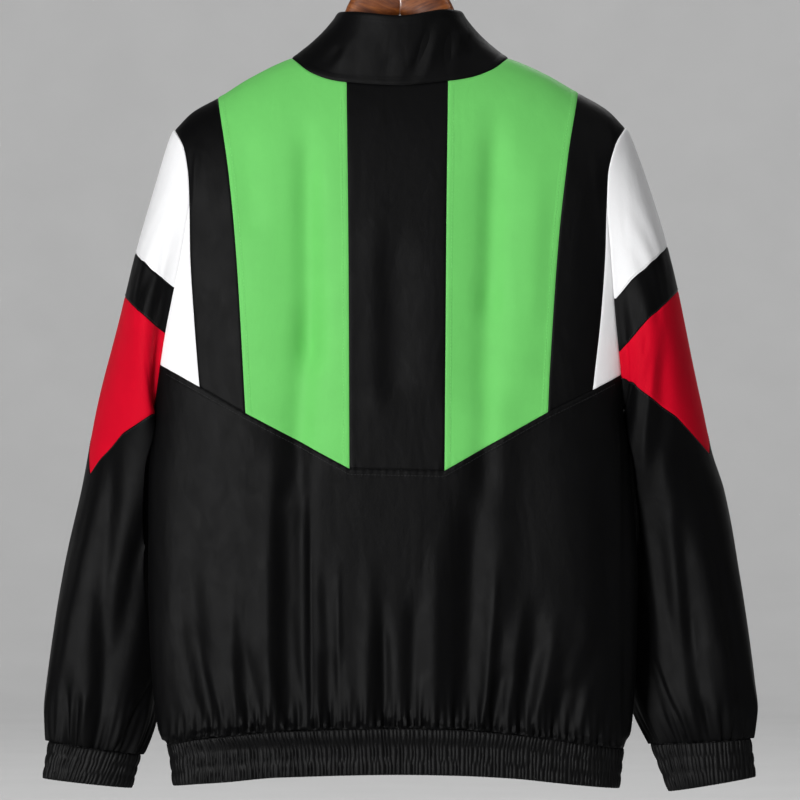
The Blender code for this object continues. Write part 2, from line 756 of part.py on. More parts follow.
def collar_points(x, facing, share):
    """Outer points of the stand collar above the place x of the neck seam."""
    base_z = np.where(facing < 0, back_neck(x), front_neck(x))
    base_y = facing * half_depth(x, base_z, facing)
    ratio = np.clip(np.abs(x) / NECK_HALF_WIDTH, 0, 1)
    lean = np.arcsin(ratio)
    turn = np.where(facing > 0, lean, math.pi - lean)
    turn = np.where(x < 0, 2 * math.pi - turn, turn)
    s = np.sin(turn)
    c = np.cos(turn)
    radius = (np.abs(s) ** COLLAR_POWER + np.abs(c) ** COLLAR_POWER) ** (-1 / COLLAR_POWER)
    top_x = COLLAR_HALF_WIDTH * radius * s
    straight = (1 - ease((np.abs(x) - PLACKET) / 45)) * (facing > 0)
    top_x = top_x + (x - top_x) * straight
    top_y = COLLAR_FORWARD + COLLAR_HALF_DEPTH * radius * c
    top_z = collar_top_height(np.degrees(turn))
    bulge = 3.0 * np.sin(math.pi * share)
    px = x + (top_x - x) * share - bulge * s
    py = base_y + (top_y - base_y) * share - bulge * c * (facing > 0)
    pz = base_z + (top_z - base_z) * share
    return np.stack(np.broadcast_arrays(px, py, pz), -1)


def grid_normals(points):
    """Unit normals of a grid of points from their neighbours."""
    normal = np.cross(np.gradient(points, axis=0), np.gradient(points, axis=1))
    return normal / np.linalg.norm(normal, axis=-1, keepdims=True)


def add_collar():
    front = np.array((ZIP_HALF_SLOT,) + FRONT_NECK_STATIONS[:-1])
    back = np.array(BACK_NECK_STATIONS)[::-1]
    xs = np.concatenate([front, back, -front[::-1]])
    facing = np.concatenate([np.ones(len(front)), -np.ones(len(back)), np.ones(len(front))])
    share = np.array(COLLAR_SHARES)[:, None]
    points = collar_points(xs[None, :], facing[None, :], share)
    cloth("collar", points, grid_normals(points), BLACK)


BAND_MIDDLE = (BACK_BAND["across"][0] + BACK_BAND["across"][-1]) / 2
BAND_HALF_WIDTH = (BACK_BAND["across"][-1] - BACK_BAND["across"][0]) / 2


def band_points(turn, share, facing):
    """Outer points and normals of the hem band at turns from 0 (left side) to 1 (right side)."""
    def top(x):
        return np.where(facing < 0, back_band_top(x), front_band_top(x))

    def bottom(x):
        return np.where(facing < 0, back_band_bottom(x), front_band_bottom(x))

    x = BAND_MIDDLE - BAND_HALF_WIDTH * np.cos(np.pi * turn)
    for _ in range(8):
        z = top(x) + (bottom(x) - top(x)) * share
        left = left_edge(z)
        right = right_edge(z)
        x = (left + right) / 2 - (right - left) / 2 * np.cos(np.pi * turn)
    y = facing * half_depth(x, z, facing)
    return np.stack(np.broadcast_arrays(x, y, z), -1), body_normal(x, z, facing)


def add_hem_band():
    """One ribbed strip from the zip round the left side, the back and the right side to the zip."""
    left_end, right_end = (
        math.acos((BAND_MIDDLE - middle) / BAND_HALF_WIDTH) / math.pi
        for middle in (-ZIP_HALF_SLOT, ZIP_HALF_SLOT)
    )
    steps = BAND_RIBS // 2
    turn = np.concatenate([
        np.linspace(left_end, 0, steps + 1),
        np.linspace(0, 1, 2 * steps + 1)[1:],
        np.linspace(1, right_end, steps + 1)[1:],
    ])
    facing = np.repeat([1, -1, 1], [steps + 1, 2 * steps, steps])
    share = np.array([0.0, 0.5, 1.0])[:, None]
    points, normals = band_points(turn, share, facing)
    raised = np.broadcast_to(RIB_HEIGHT * (np.arange(turn.size) % 2), points.shape[:2])
    cloth("hem_band", points, normals, RIB, raised=raised)


def armhole_loop(side):
    """Angles and points of the armhole from its tip down the back, and the same down the front."""
    z = np.array(armhole_heights(side))
    x = armhole[side](z)
    length = np.concatenate([[0], np.cumsum(np.hypot(np.diff(x), np.diff(z)))])
    return math.pi * length / length[-1], x, z


class Sleeve:
    """One sleeve's surface: angle 0 is its outer line, positive angles are on the back."""

    def __init__(self, side, rows, end):
        self.side = side
        self.angles, self.x, self.z = armhole_loop(side)
        self.lines = {name: curve(rows["share"], rows[name]) for name in rows if name != "share"}
        self.end = end

    def ring(self, share):
        """Outer line, inner line and half depth at a share of the length; past 1 is the cuff."""
        names = ("out_across", "out_depth", "out_height", "in_across", "in_depth", "in_height", "half_depth")
        at_share = [self.lines[name](np.minimum(share, 1.0)) for name in names]
        down = np.clip(share - 1.0, 0, 1)
        return [value + (end - value) * down for value, end in zip(at_share, self.end)]

    def points(self, angle, share, folded=True):
        angle, share = np.broadcast_arrays(np.asarray(angle, float), np.asarray(share, float))
        angle = (angle + math.pi) % (2 * math.pi) - math.pi
        ox, oy, oz, ix, iy, iz, deep = self.ring(share)
        outer = np.stack([ox, oy, oz], -1)
        inner = np.stack([ix, iy, iz], -1)
        middle = (outer + inner) / 2
        way = outer - middle
        unit = way / np.linalg.norm(way, axis=-1, keepdims=True)
        back = np.array([0.0, -1.0, 0.0]) + unit * unit[..., 1:2]
        back = back / np.linalg.norm(back, axis=-1, keepdims=True)
        c = np.cos(angle)[..., None]
        s = np.sin(angle)[..., None]
        ring = middle + way * c + back * deep[..., None] * s
        inward = self.fold(angle, share) if folded else np.zeros(angle.shape)
        toward = middle - ring
        toward = toward / np.linalg.norm(toward, axis=-1, keepdims=True)
        ring = ring + toward * inward[..., None]
        turned = np.abs(angle)
        x = np.interp(turned, self.angles, self.x)
        z = np.interp(turned, self.angles, self.z)
        back_y = np.interp(turned, self.angles, -half_depth(self.x, self.z, -1))
        front_y = np.interp(turned, self.angles, half_depth(self.x, self.z, 1))
        y = np.where(angle > 0, back_y, front_y)
        outward = SLEEVE_ROOT * np.sin(math.pi / 2 * np.clip(share / SLEEVE_ROOT_SHARE, 0, 1))
        outward = outward * (0.3 + 0.7 * ease(turned / math.pi))
        loop = np.stack([x + (outward if self.side == "right" else -outward), y, z], -1)
        blend = ease(share / 0.18)[..., None]
        return self.pressed(loop + (ring - loop) * blend, share)

    def fold(self, angle, share):
        depth = np.zeros(angle.shape)
        for row in zip(*(SLEEVE_FOLDS[name] for name in SLEEVE_FOLDS)):
            place, start, end, width, deepest = row
            along = np.clip((share - start) / (end - start), 0, 1)
            fade = np.sin(math.pi * along) ** 0.7
            depth += deepest * fade * np.exp(-(((np.degrees(angle) - place) / width) ** 2))
        near = np.exp(-np.clip(1 - share, 0, 1) / 0.06) * (share <= 1.0)
        near = near * ease((1.0 - share) / 0.012)
        return depth + 2.2 * near * np.cos(SLEEVE_GATHERS * angle)

    def pressed(self, points, share):
        """Keeps the sleeve just outside the body's side, as if it lay against it."""
        x, y, z = points[..., 0], points[..., 1], points[..., 2]
        below = np.clip((UNDERARM_HEIGHT - z) / 16, 0, 1)
        margin = 2.0 + 3.0 * ease(below)
        left, right = left_edge(z), right_edge(z)
        middle = (left + right) / 2
        wide = (right - left) / 2 + margin
        full = np.where(y < 0, back_depth(z), front_depth(z)) + margin
        measure = (np.abs((x - middle) / wide) ** SECTION_POWER + np.abs(y / full) ** SECTION_POWER) ** (
            1 / SECTION_POWER
        )
        scale = np.where((z < UNDERARM_HEIGHT + 2) & (share > 0.001), np.maximum(1, 1 / measure), 1.0)
        return np.stack([middle + (x - middle) * scale, y * scale, z], -1)

    def wall(self, angle, share):
        """Outer points, and the directions the sleeve's wall runs in."""
        points, wall = self.points(angle, share), self.normals(angle, share)
        root = self.points(angle, np.zeros(np.shape(share)))
        facing = np.where(angle > 0, -1, 1)
        z = np.interp(np.abs(angle), self.angles, self.z)
        return points, turned(wall, np.linalg.norm(points - root, axis=-1), *mitre(self.side, z, facing)[::2])

    def normals(self, angle, share):
        angle, share = np.broadcast_arrays(np.asarray(angle, float), np.asarray(share, float))
        around = self.points(angle + ANGLE_STEP, share) - self.points(angle - ANGLE_STEP, share)
        above = np.maximum(share - SHARE_STEP, 0)
        along = self.points(angle, share + SHARE_STEP) - self.points(angle, above)
        normal = np.cross(along, around)
        normal = normal / np.linalg.norm(normal, axis=-1, keepdims=True)
        return normal if self.side == "left" else -normal


# The sleeve's colour seams as seen from the back, from the outer line to the armhole.
LEFT_SEAMS = (
    table(("across", "height"), (-272.0, -361.0), (-230.0, -398.6)),
    table(("across", "height"), (-283.0, -406.5), (-238.7, -445.5)),
    table(
        ("across", "height"),
        (-320.0, -591.0),
        (-308.0, -574.0),
        (-282.5, -546.5),
        (-252.0, -527.1),
        (-225.0, -523.3),
    ),
)
RIGHT_SEAMS = (
    table(("across", "height"), (216.0, -414.0), (234.0, -391.5), (275.0, -354.5)),
    table(("across", "height"), (220.0, -468.0), (250.0, -432.3), (286.0, -400.5)),
    table(
        ("across", "height"),
        (200.0, -487.5),
        (226.0, -489.8),
        (256.0, -510.8),
        (281.5, -529.2),
        (318.0, -568.0),
    ),
)
LEAST_STRIP = 0.004
CROWN_ANGLE = math.radians(7)


class Stripes:
    """The colour seams of one sleeve: each leaves the armhole, crosses the outer line and comes back."""

    def __init__(self, sleeve, seams):
        self.sleeve = sleeve
        self.lines = [polyline(seam["across"], seam["height"]) for seam in seams]
        self.fine = np.linspace(0, math.pi, 181)
        self.shares = [self.crossing(line) for line in self.lines]
        self.reach = [self.fine[shares > LEAST_STRIP][-1] for shares in self.shares]
        self.angles = sorted({*sleeve.angles, *self.reach})
        self.sparse = [a for a in self.angles if a == 0 or a > CROWN_ANGLE]

    def crossing(self, line):
        """The share at which each angle's line down the back of the sleeve meets a seam."""
        low = np.zeros(self.fine.shape)
        high = np.full(self.fine.shape, 0.98)
        for _ in range(30):
            middle = (low + high) / 2
            place = self.sleeve.points(self.fine, middle, folded=False)
            above = place[:, 2] > line(place[:, 0])
            low = np.where(above, middle, low)
            high = np.where(above, high, middle)
        return np.where(low < 1e-3, 0.0, low)

    def seam(self, k, angle):
        return np.interp(np.abs(angle), self.fine, self.shares[k])

    def around(self, k):
        half = [a for a in (self.sparse if k else self.angles) if a <= self.reach[k]]
        return np.array([-a for a in half[:0:-1]] + half)


SLEEVES = {
    "left": Sleeve("left", SLEEVE_LEFT, CUFF_LEFT),
    "right": Sleeve("right", SLEEVE_RIGHT, CUFF_RIGHT),
}


def mitre(side, z, facing):
    """At the armhole: the direction in which both walls meet, the body's normal and the sleeve's."""
    sleeve = SLEEVES[side]
    height = sleeve.z[::-1]
    z = np.clip(z, height[0], height[-1])
    angle = -facing * np.interp(z, height, sleeve.angles[::-1])
    of_sleeve = sleeve.normals(angle, np.zeros(np.shape(z)))
    of_body = body_normal(armhole[side](z), z, facing)
    return meeting(of_sleeve, of_body), of_body, of_sleeve


def meeting(one, other):
    """The direction that is as far from two walls' outer faces as each normal is from its own."""
    cosine = np.sum(one * other, -1, keepdims=True)
    return (one + other) / np.maximum(1 + cosine, 0.5)


def add_sleeve(side):
    sleeve = SLEEVES[side]
    stripes = Stripes(sleeve, LEFT_SEAMS if side == "left" else RIGHT_SEAMS)

    def piece(name, angle, upper, lower, down, look, closed=False):
        share = upper + (lower - upper) * np.array(down)[:, None]
        grid = np.broadcast_to(angle, share.shape)
        cloth(f"{name}_{side}", *sleeve.wall(grid, share), look, closed, drawn=SLEEVE_DRAWN)

    angle = stripes.around(0)
    piece("sleeve_top", angle, 0 * angle, stripes.seam(0, angle), spread(0, 1, 4), WHITE)
    angle = stripes.around(1)
    piece("sleeve_stripe", angle, stripes.seam(0, angle), stripes.seam(1, angle), spread(0, 1, 2), BLACK)
    angle = stripes.around(2)
    piece("sleeve_panel", angle, stripes.seam(1, angle), stripes.seam(2, angle), spread(0, 1, 4), RED)
    half = np.array(stripes.sparse)
    angle = np.concatenate([-half[:0:-1], half[:-1]])
    down = (0.0, 0.17, 0.34, 0.51, 0.67, 0.81, 0.93, 1.0)
    top = stripes.seam(2, angle)
    piece("sleeve_lower", angle, top, np.ones(top.shape), down, BLACK, closed=True)

    angle = np.linspace(-math.pi, math.pi, 2 * CUFF_RIBS + 1)[:-1]
    share = np.array([1.0, 1.5, 2.0])[:, None]
    grid = np.broadcast_to(angle, (share.size, angle.size))
    share = np.broadcast_to(share, grid.shape)
    points = sleeve.points(grid, share, folded=False)
    normals = sleeve.normals(grid, np.clip(share, 1.01, 1.98))
    raised = np.broadcast_to(RIB_HEIGHT * (np.arange(angle.size) % 2), grid.shape)
    cloth(f"cuff_{side}", points, normals, RIB, closed=True, raised=raised)


def add_hanger():
    """Two wooden halves that meet at the middle, with a bore for the hook's stem."""
    bpy.ops.mesh.primitive_cylinder_add(
        vertices=16, radius=BORE_RADIUS * MM, depth=BORE_LENGTH * MM, location=(0, 0, BORE_MIDDLE * MM)
    )
    bore = bpy.context.active_object
    bore.name = "bore_cutter"
    bore.hide_render = True
    bore.display_type = "WIRE"
    for side, sign in (("left", -1), ("right", 1)):
        rings = []
        for across, below, top, drop, thick in zip(*(HANGER[name] for name in HANGER)):
            x = sign * across
            high = shoulder(x) - below if below else top
            turn = np.linspace(0, 2 * math.pi, HANGER_SIDES + 1)[:-1]
            c = np.cos(turn)
            s = np.sin(turn)
            y = thick * np.sign(s) * np.abs(s) ** 0.8
            z = high - drop / 2 + drop / 2 * np.sign(c) * np.abs(c) ** 0.8
            rings.append(np.stack([np.full(turn.shape, x), y, z], -1))
        points = np.array(rings)
        count = HANGER_SIDES
        faces = [tuple(range(count)), tuple(range((len(rings) - 1) * count, len(rings) * count))[::-1]]
        for i in range(len(rings) - 1):
            for j in range(count):
                a = i * count + j
                b = i * count + (j + 1) % count
                faces.append((b, a, a + count, b + count))
        half = add_mesh(f"hanger_{side}", points.reshape(-1, 3), faces, WOOD)
        cut = half.modifiers.new("bore", "BOOLEAN")
        cut.operation = "DIFFERENCE"
        cut.object = bore


def add_tube(name, route, radii, look, sides=12):
    """A solid rod along a flat route in the XZ plane."""
    route = np.array(route)
    way = np.gradient(route, axis=0)
    way = way / np.linalg.norm(way, axis=1, keepdims=True)
    over = np.array([0.0, 1.0, 0.0])
    across = np.cross(way, over)
    rings = []
    for point, side, radius in zip(route, across, radii):
        turn = np.linspace(0, 2 * math.pi, sides + 1)[:-1]
        rings.append(point + radius * (np.cos(turn)[:, None] * side + np.sin(turn)[:, None] * over))
    points = np.array(rings)
    faces = [tuple(range(sides)), tuple(range((len(rings) - 1) * sides, len(rings) * sides))[::-1]]
    for i in range(len(rings) - 1):
        for j in range(sides):
            a = i * sides + j
            b = i * sides + (j + 1) % sides
            faces.append((b, a, a + sides, b + sides))
    return add_mesh(name, points.reshape(-1, 3), faces, look)


FERRULE = table(
    ("height", "radius"),
    (-90.0, 2.2),
    (-61.6, 2.2),
    (-61.5, 6.0),
    (-59.0, 6.0),
    (-57.5, 4.4),
    (-57.4, 2.2),
)


def add_hook():
    top = WIRE_RADIUS
    center_z = top - HOOK_RADIUS
    route = [(0.0, 0.0, z) for z in FERRULE["height"]]
    radii = list(FERRULE["radius"])
    bend = ((0.8, -51.0), (4.5, -45.5), (10.0, -41.0))
    for x, z in bend:
        route.append((x, 0.0, z))
        radii.append(WIRE_RADIUS)
    for degrees in range(-50, 211, 20):
        turn = math.radians(degrees)
        route.append((HOOK_RADIUS * math.cos(turn), 0.0, center_z + HOOK_RADIUS * math.sin(turn)))
        radii.append(WIRE_RADIUS)
    radii[-1] = WIRE_RADIUS * 0.8
    add_tube("hanger_hook", route, radii, STEEL, sides=8)


def zip_grid(xs, side):
    """Outer points and normals of the closed front under the zip, top to bottom, for each x across it."""
    columns = []
    ways = []
    middle = (slice(None), np.newaxis)
    for x in xs:
        share = np.array(COLLAR_SHARES[::-1])
        place = np.full(share.shape, abs(x))
        collar = collar_points(place, np.ones(share.shape), share) * (np.sign(x) or 1, 1, 1)
        slope = np.gradient(collar, axis=0)
        collar_way = np.stack([np.zeros(share.size), -slope[:, 2], slope[:, 1]], -1)
        collar_way /= np.linalg.norm(collar_way, axis=1)[middle]
        z = front_top(x) + (front_band_top(x) - front_top(x)) * np.array(front_rows(side))
        body, body_way = body_points(np.full(z.shape, float(x)), z, 1)
        hem_z = front_band_top(x) + (front_band_bottom(x) - front_band_top(x)) * np.array([0.0, 0.5, 1.0])
        hem_x = np.full(hem_z.shape, float(x))
        hem = np.stack([hem_x, half_depth(hem_x, hem_z, 1), hem_z], -1)
        hem_way = body_normal(hem_x, hem_z, 1)
        at_neck = meeting(collar_way[-1], body_way[0])
        at_hem = meeting(body_way[-1], hem_way[0])
        columns.append(np.concatenate([collar, body[1:], hem[1:]]))
        ways.append(np.concatenate([collar_way[:-1], [at_neck], body_way[1:-1], [at_hem], hem_way[1:]]))
    return np.stack(columns, 1), np.stack(ways, 1)


CHAIN_TOP_DROP = 9.0
SLIDER_HALF_WIDTH = 4.6
SLIDER_TOP = -1.0
SLIDER_BOTTOM = -13.0
SLIDER_PLATE = 1.6
SLIDER_FRONT = 2.5
SLIDER_BACK = 4.0
BRIDGE_HALF_WIDTH = 1.3
BRIDGE_LENGTH = 5.0
EAR_INNER = 1.7
EAR_OUTER = 2.7
EAR_LENGTH = 4.4
EAR_REACH = 1.4
BAR_DEPTH = 5.2
BAR_HEIGHT = -4.0
BAR_RADIUS = 0.7
PULL_EYE_RADIUS = 1.9
PULL_HOLE_RADIUS = 1.1
PULL_HALF_WIDTH = 1.4
PULL_HALF_THICK = 0.5
PULL_NECK_LENGTH = 8.5
PULL_TAB_HALF_WIDTH = 3.0
PULL_TAB_HALF_THICK = 0.6
PULL_LENGTH = 30.0
JOIN = 0.5


def add_box(name, low, high, frame):
    """A metal box between two corners, in a frame of (origin, across, out, up)."""
    origin, across, out, up = frame
    ends = zip(low, high)
    corners = np.array(list(itertools.product(*ends)))
    corners = origin + corners[:, :1] * across + corners[:, 1:2] * out + corners[:, 2:] * up
    faces = [(0, 1, 3, 2), (4, 6, 7, 5), (0, 4, 5, 1), (2, 3, 7, 6), (0, 2, 6, 4), (1, 5, 7, 3)]
    return add_mesh(name, corners, faces, ZIP_METAL, origin)


def joined(base, others, operation="UNION"):
    """Applies a Boolean of each helper to the base and hides the helpers."""
    for other in others:
        other.hide_render = True
        other.display_type = "WIRE"
        step = base.modifiers.new(other.name, "BOOLEAN")
        step.operation = operation
        step.object = other
    return base


def add_rod(name, radius, half_length, frame, y, z, sides=16):
    """A metal rod across the zip at the place (y out, z up) of a frame."""
    origin, across, out, up = frame
    turn = np.linspace(0, 2 * math.pi, sides + 1)[:-1]
    ring = origin + (y + radius * np.cos(turn))[:, None] * out + (z + radius * np.sin(turn))[:, None] * up
    points = np.concatenate([ring - half_length * across, ring + half_length * across])
    faces = [tuple(range(sides)), tuple(range(sides, 2 * sides))[::-1]]
    for j in range(sides):
        k = (j + 1) % sides
        faces.append((k, j, j + sides, k + sides))
    return add_mesh(name, points, faces, ZIP_METAL, origin)


def zip_frame():
    """Where the slider sits: its top middle point on the collar's outer face, and its directions."""
    top = collar_points(np.array(0.0), np.array(1), np.array(1.0))
    low = collar_points(np.array(0.0), np.array(1), np.array(COLLAR_SHARES[-2]))
    up = (top - low) / np.linalg.norm(top - low)
    across = np.array([1.0, 0.0, 0.0])
    out = np.cross(up, across)
    if out[1] < 0:
        out = -out
    return top, across, out, up


def add_zip():
    for side, sign in (("left", -1), ("right", 1)):
        xs = [sign * TAPE_INNER, sign * TAPE_OUTER]
        points, normals = zip_grid(xs, side)
        outer = points - normals * TAPE_DEPTH
        add_wall(f"zip_tape_{side}", outer, outer - normals * TAPE_WALL, TAPE)
    points, normals = zip_grid([-CHAIN_HALF_WIDTH, CHAIN_HALF_WIDTH], "left")
    frame = zip_frame()
    points[0] -= frame[-1] * CHAIN_TOP_DROP
    outer = points + normals * CHAIN_RAISED
    add_wall("zip_chain", outer, outer - normals * CHAIN_WALL, ZIP_METAL)
    add_slider(frame)
    add_pull(frame)


def add_slider(frame):
    """Two plates joined by a bridge, with two ears that hold the pull's bar."""
    wide = SLIDER_HALF_WIDTH
    slider = add_box(
        "zip_slider",
        (-wide, SLIDER_FRONT - SLIDER_PLATE, SLIDER_BOTTOM),
        (wide, SLIDER_FRONT, SLIDER_TOP),
        frame,
    )
    back = add_box(
        "slider_back_plate",
        (-wide, -SLIDER_BACK - SLIDER_PLATE, SLIDER_BOTTOM),
        (wide, -SLIDER_BACK, SLIDER_TOP),
        frame,
    )
    bridge = add_box(
        "slider_bridge",
        (-BRIDGE_HALF_WIDTH, -SLIDER_BACK - JOIN, SLIDER_TOP - BRIDGE_LENGTH),
        (BRIDGE_HALF_WIDTH, SLIDER_FRONT - JOIN, SLIDER_TOP - JOIN),
        frame,
    )
    ears = [
        add_box(
            name,
            (inner, SLIDER_FRONT - JOIN, BAR_HEIGHT - EAR_LENGTH / 2),
            (outer, BAR_DEPTH + EAR_REACH, BAR_HEIGHT + EAR_LENGTH / 2),
            frame,
        )
        for name, inner, outer in (
            ("slider_ear_left", -EAR_OUTER, -EAR_INNER),
            ("slider_ear_right", EAR_INNER, EAR_OUTER),
        )
    ]
    bar = add_rod("slider_bar", BAR_RADIUS, (EAR_INNER + EAR_OUTER) / 2, frame, BAR_DEPTH, BAR_HEIGHT)
    joined(slider, [back, bridge, *ears, bar])


def add_pull(frame):
    """The tab that hangs from the slider's bar by its eye; its origin lies on the bar's axis."""
    origin, across, out, up = frame
    pivot = origin + out * BAR_DEPTH + up * BAR_HEIGHT
    hang = (pivot, across, np.array([0.0, 1.0, 0.0]), np.array([0.0, 0.0, 1.0]))
    pull = add_rod("zip_pull", PULL_EYE_RADIUS, PULL_HALF_WIDTH, hang, 0.0, 0.0)
    neck = add_box(
        "pull_neck",
        (-PULL_HALF_WIDTH, -PULL_HALF_THICK, -PULL_NECK_LENGTH),
        (PULL_HALF_WIDTH, PULL_HALF_THICK, -(PULL_EYE_RADIUS + PULL_HOLE_RADIUS) / 2),
        hang,
    )
    tab = add_box(
        "pull_tab",
        (-PULL_TAB_HALF_WIDTH, -PULL_TAB_HALF_THICK, -PULL_LENGTH),
        (PULL_TAB_HALF_WIDTH, PULL_TAB_HALF_THICK, JOIN - PULL_NECK_LENGTH),
        hang,
    )
    joined(pull, [neck, tab])
    hole = add_rod("pull_hole", PULL_HOLE_RADIUS, 2 * PULL_HALF_WIDTH, hang, 0.0, 0.0)
    joined(pull, [hole], "DIFFERENCE")


def main():
    for old in list(bpy.data.objects):
        bpy.data.objects.remove(old, do_unlink=True)
    add_upper_back()
    add_lower_back()
    add_fronts()
    add_collar()
    add_hem_band()
    add_sleeve("left")
    add_sleeve("right")
    add_hanger()
    add_hook()
    add_zip()


main()
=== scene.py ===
"""A windbreaker on a wooden hanger: its cloth, creases, sewing, zip, wood and wire, and the studio.

Sizes are millimetres in the part's own frame: the back faces -Y, the zip front +Y and up is +Z.
"""

import math

import bpy
import numpy as np
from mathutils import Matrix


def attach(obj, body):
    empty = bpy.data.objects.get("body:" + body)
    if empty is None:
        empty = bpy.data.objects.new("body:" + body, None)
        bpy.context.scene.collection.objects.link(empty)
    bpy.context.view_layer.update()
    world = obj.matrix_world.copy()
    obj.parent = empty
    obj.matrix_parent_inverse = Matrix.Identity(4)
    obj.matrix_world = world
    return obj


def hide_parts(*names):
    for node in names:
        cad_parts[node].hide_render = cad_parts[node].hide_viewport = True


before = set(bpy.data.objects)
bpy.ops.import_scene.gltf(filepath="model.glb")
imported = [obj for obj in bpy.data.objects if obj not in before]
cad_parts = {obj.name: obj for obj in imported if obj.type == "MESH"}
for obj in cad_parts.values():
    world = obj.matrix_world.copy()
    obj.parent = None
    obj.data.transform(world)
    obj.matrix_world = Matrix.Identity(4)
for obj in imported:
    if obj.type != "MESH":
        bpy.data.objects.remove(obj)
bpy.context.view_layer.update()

MM = 0.001
SIGN = {"left": -1, "right": 1}
SHELL_WALL = 1.1
SEAM_HALF_GAP = 0.12
SEAM_DIP = 0.55
SEAM_SOFTNESS = 1.0
NORMAL_STEP = 0.4
ANGLE_STEP = 0.02
SHARE_STEP = 0.004
MITRE_REACH = 9.0
SEAM_END = 0.004

# Body
CREST_RADIUS = 18.5
LEAST_CREST_DROP = 60.0
SECTION_POWER = 2.35
NECK_HALF_WIDTH = 110.2
NECK_SIDE_HEIGHT = -164.0
NECK_FRONT_DROP = 86.0
NECK_FRONT_POWER = 2.5
WEDGE_TOP_HEIGHT = -315.5
ARMHOLE_SPLIT_HEIGHT = -314.0
UNDERARM_HEIGHT = -523.0
ARMHOLE_STATIONS = 52
PLACKET = 18.0
ZIP_HALF_SLOT = 4.0
FRONT_GATHERS = 12
GATHER_DEPTH = 2.2
GATHER_LENGTH = 50.0

# Fades: a trough's by shares of its own length, the gathers' from the side by a share of the turn round
# the body, and the rest by distance in millimetres
TROUGH_START = 0.35
TROUGH_REACH = 1.12
TROUGH_END = 0.18
FOLD_FROM_PLACKET = 24
FOLD_FROM_ARMHOLE = 7
GATHER_FROM_PLACKET = 16
GATHER_FROM_SIDE = 0.04
SEAM_FLAT = 4
BACK_SEAM_FLAT = 3
DRAWN_REACH = 330
DRAWN_FADE = 200

# Sleeves: how far each one stands out from its armhole, and over which share of its length
SLEEVE_ROOT = 12.0
SLEEVE_ROOT_SHARE = 0.09
SLEEVE_LENGTH = 640.0
DEGREE_LENGTH = 0.95
SLEEVE_GATHERS = 12
SLEEVE_GATHER = 3.4
SLEEVE_GATHER_REACH = 34.0
SLEEVE_PINCHES = 35
SLEEVE_PINCH = 1.5
SLEEVE_PINCH_REACH = 24.0
SLEEVE_TAPER = 0.055
SLEEVE_TAPER_SHARE = 0.9
SLEEVE_BLEND = 0.18
SEAM_ANGLES = 181
LAST_SEAM_SHARE = 0.98
LEAST_STRIP = 0.004

# Where a sleeve is pressed off the body: how far, from how far below the underarm, over what height,
# and by how much it may still sink in
PRESS_MARGIN = 5.0
PRESS_START = 10.0
PRESS_FADE = 50
PRESS_SINK = 0.2

# Elastic bands: ribs all the way round, and the height of one rib and of one channel
BAND_RIB_PITCH = 4.4
CUFF_RIBS = 52
RIB_COLUMNS = 6
RIB_HEIGHT = 1.5
BAND_LEAN = 0.9
BAND_GIRTH_SHARE = 2.3
PLAIN_END_RIBS = 3
CHANNELS = 3
CHANNEL_PUFF = 1.3
BAND_DEPTH = 47.0
CUFF_DEPTH = 38.0
CUFF_LEAN = 0.035
CUFF_WALL_SHARES = (1.01, 1.98)

# Collar
COLLAR_DEPTH = 72.0
COLLAR_HALF_WIDTH = 63.5
COLLAR_HALF_DEPTH = 66.0
COLLAR_FORWARD = 27.0
COLLAR_POWER = 2.7
COLLAR_STRAIGHT = 45
COLLAR_BULGE = 3.0
COLLAR_CENTER_DEPTH = 20.0
COLLAR_FRONT_COLUMNS = 56
COLLAR_BACK_COLUMNS = 110
COLLAR_STEP = 2.6

# Sewing
ALLOWANCE_WIDTH = 6.6
ALLOWANCE_HEIGHT = 0.35
STITCH_INSET = 5.6
STITCH_DIP = 0.25
STITCH_LENGTH = 2.6
STITCH_GAP = 0.8
THREAD_RADIUS = 0.2
THREAD_SIDES = 5
ALLOWANCE_SOFTNESS = 0.9
STITCH_SOFTNESS = 0.7
# Where each row of stitches runs: heights from and to, or places across
GREEN_SEWING_PLACE = 170.0
GREEN_SEWING_DROP = 14
GREEN_SEWING_END = -516.0
CENTER_SEWING = (-205.0, -570.0)
YOKE_SEWING = (-238.0, 219.0)
FRONT_SEWING = (-262.0, -862.0)
FRONT_SEWING_PLACE = 13.0
SEWING_ABOVE = -2.2
SEWING_BELOW = 2.4
SLEEVE_SEWING_END = 0.12
SEAM_STATIONS = 160
YOKE_STATIONS = 260
FRONT_STATIONS = 300
SLEEVE_SEWING_STATIONS = 240

# Zip
TAPE_INNER = 1.8
TAPE_OUTER = 15.0
TAPE_DEPTH = 2.3
TAPE_WALL = 1.0
CHAIN_TOP_DROP = 9.0
TAPE_COLUMNS = 12
ZIP_STATIONS = (26, 180, 16)
TOOTH_PITCH = 2.6
TOOTH_START = 0.6
CORD_HALF_WIDTH = 1.5
CORD_COLUMNS = 7
CORD_TURN = 1.4
CORD_CROWN = 0.7
CORD_SINK = 1.7
CORD_WALL = 0.8
ZIP_ROUNDS = {"zip_slider": 0.00045, "zip_pull": 0.0003}
# One tooth's sections: place across, half height, and its back and front
TOOTH_RINGS = (
    (-2.6, 0.55, -0.5, 0.35),
    (-2.2, 0.70, -0.9, 0.60),
    (-0.6, 0.50, -0.9, 0.70),
    (0.2, 0.40, -0.8, 0.62),
    (0.7, 0.58, -0.8, 0.60),
    (1.1, 0.42, -0.6, 0.45),
)

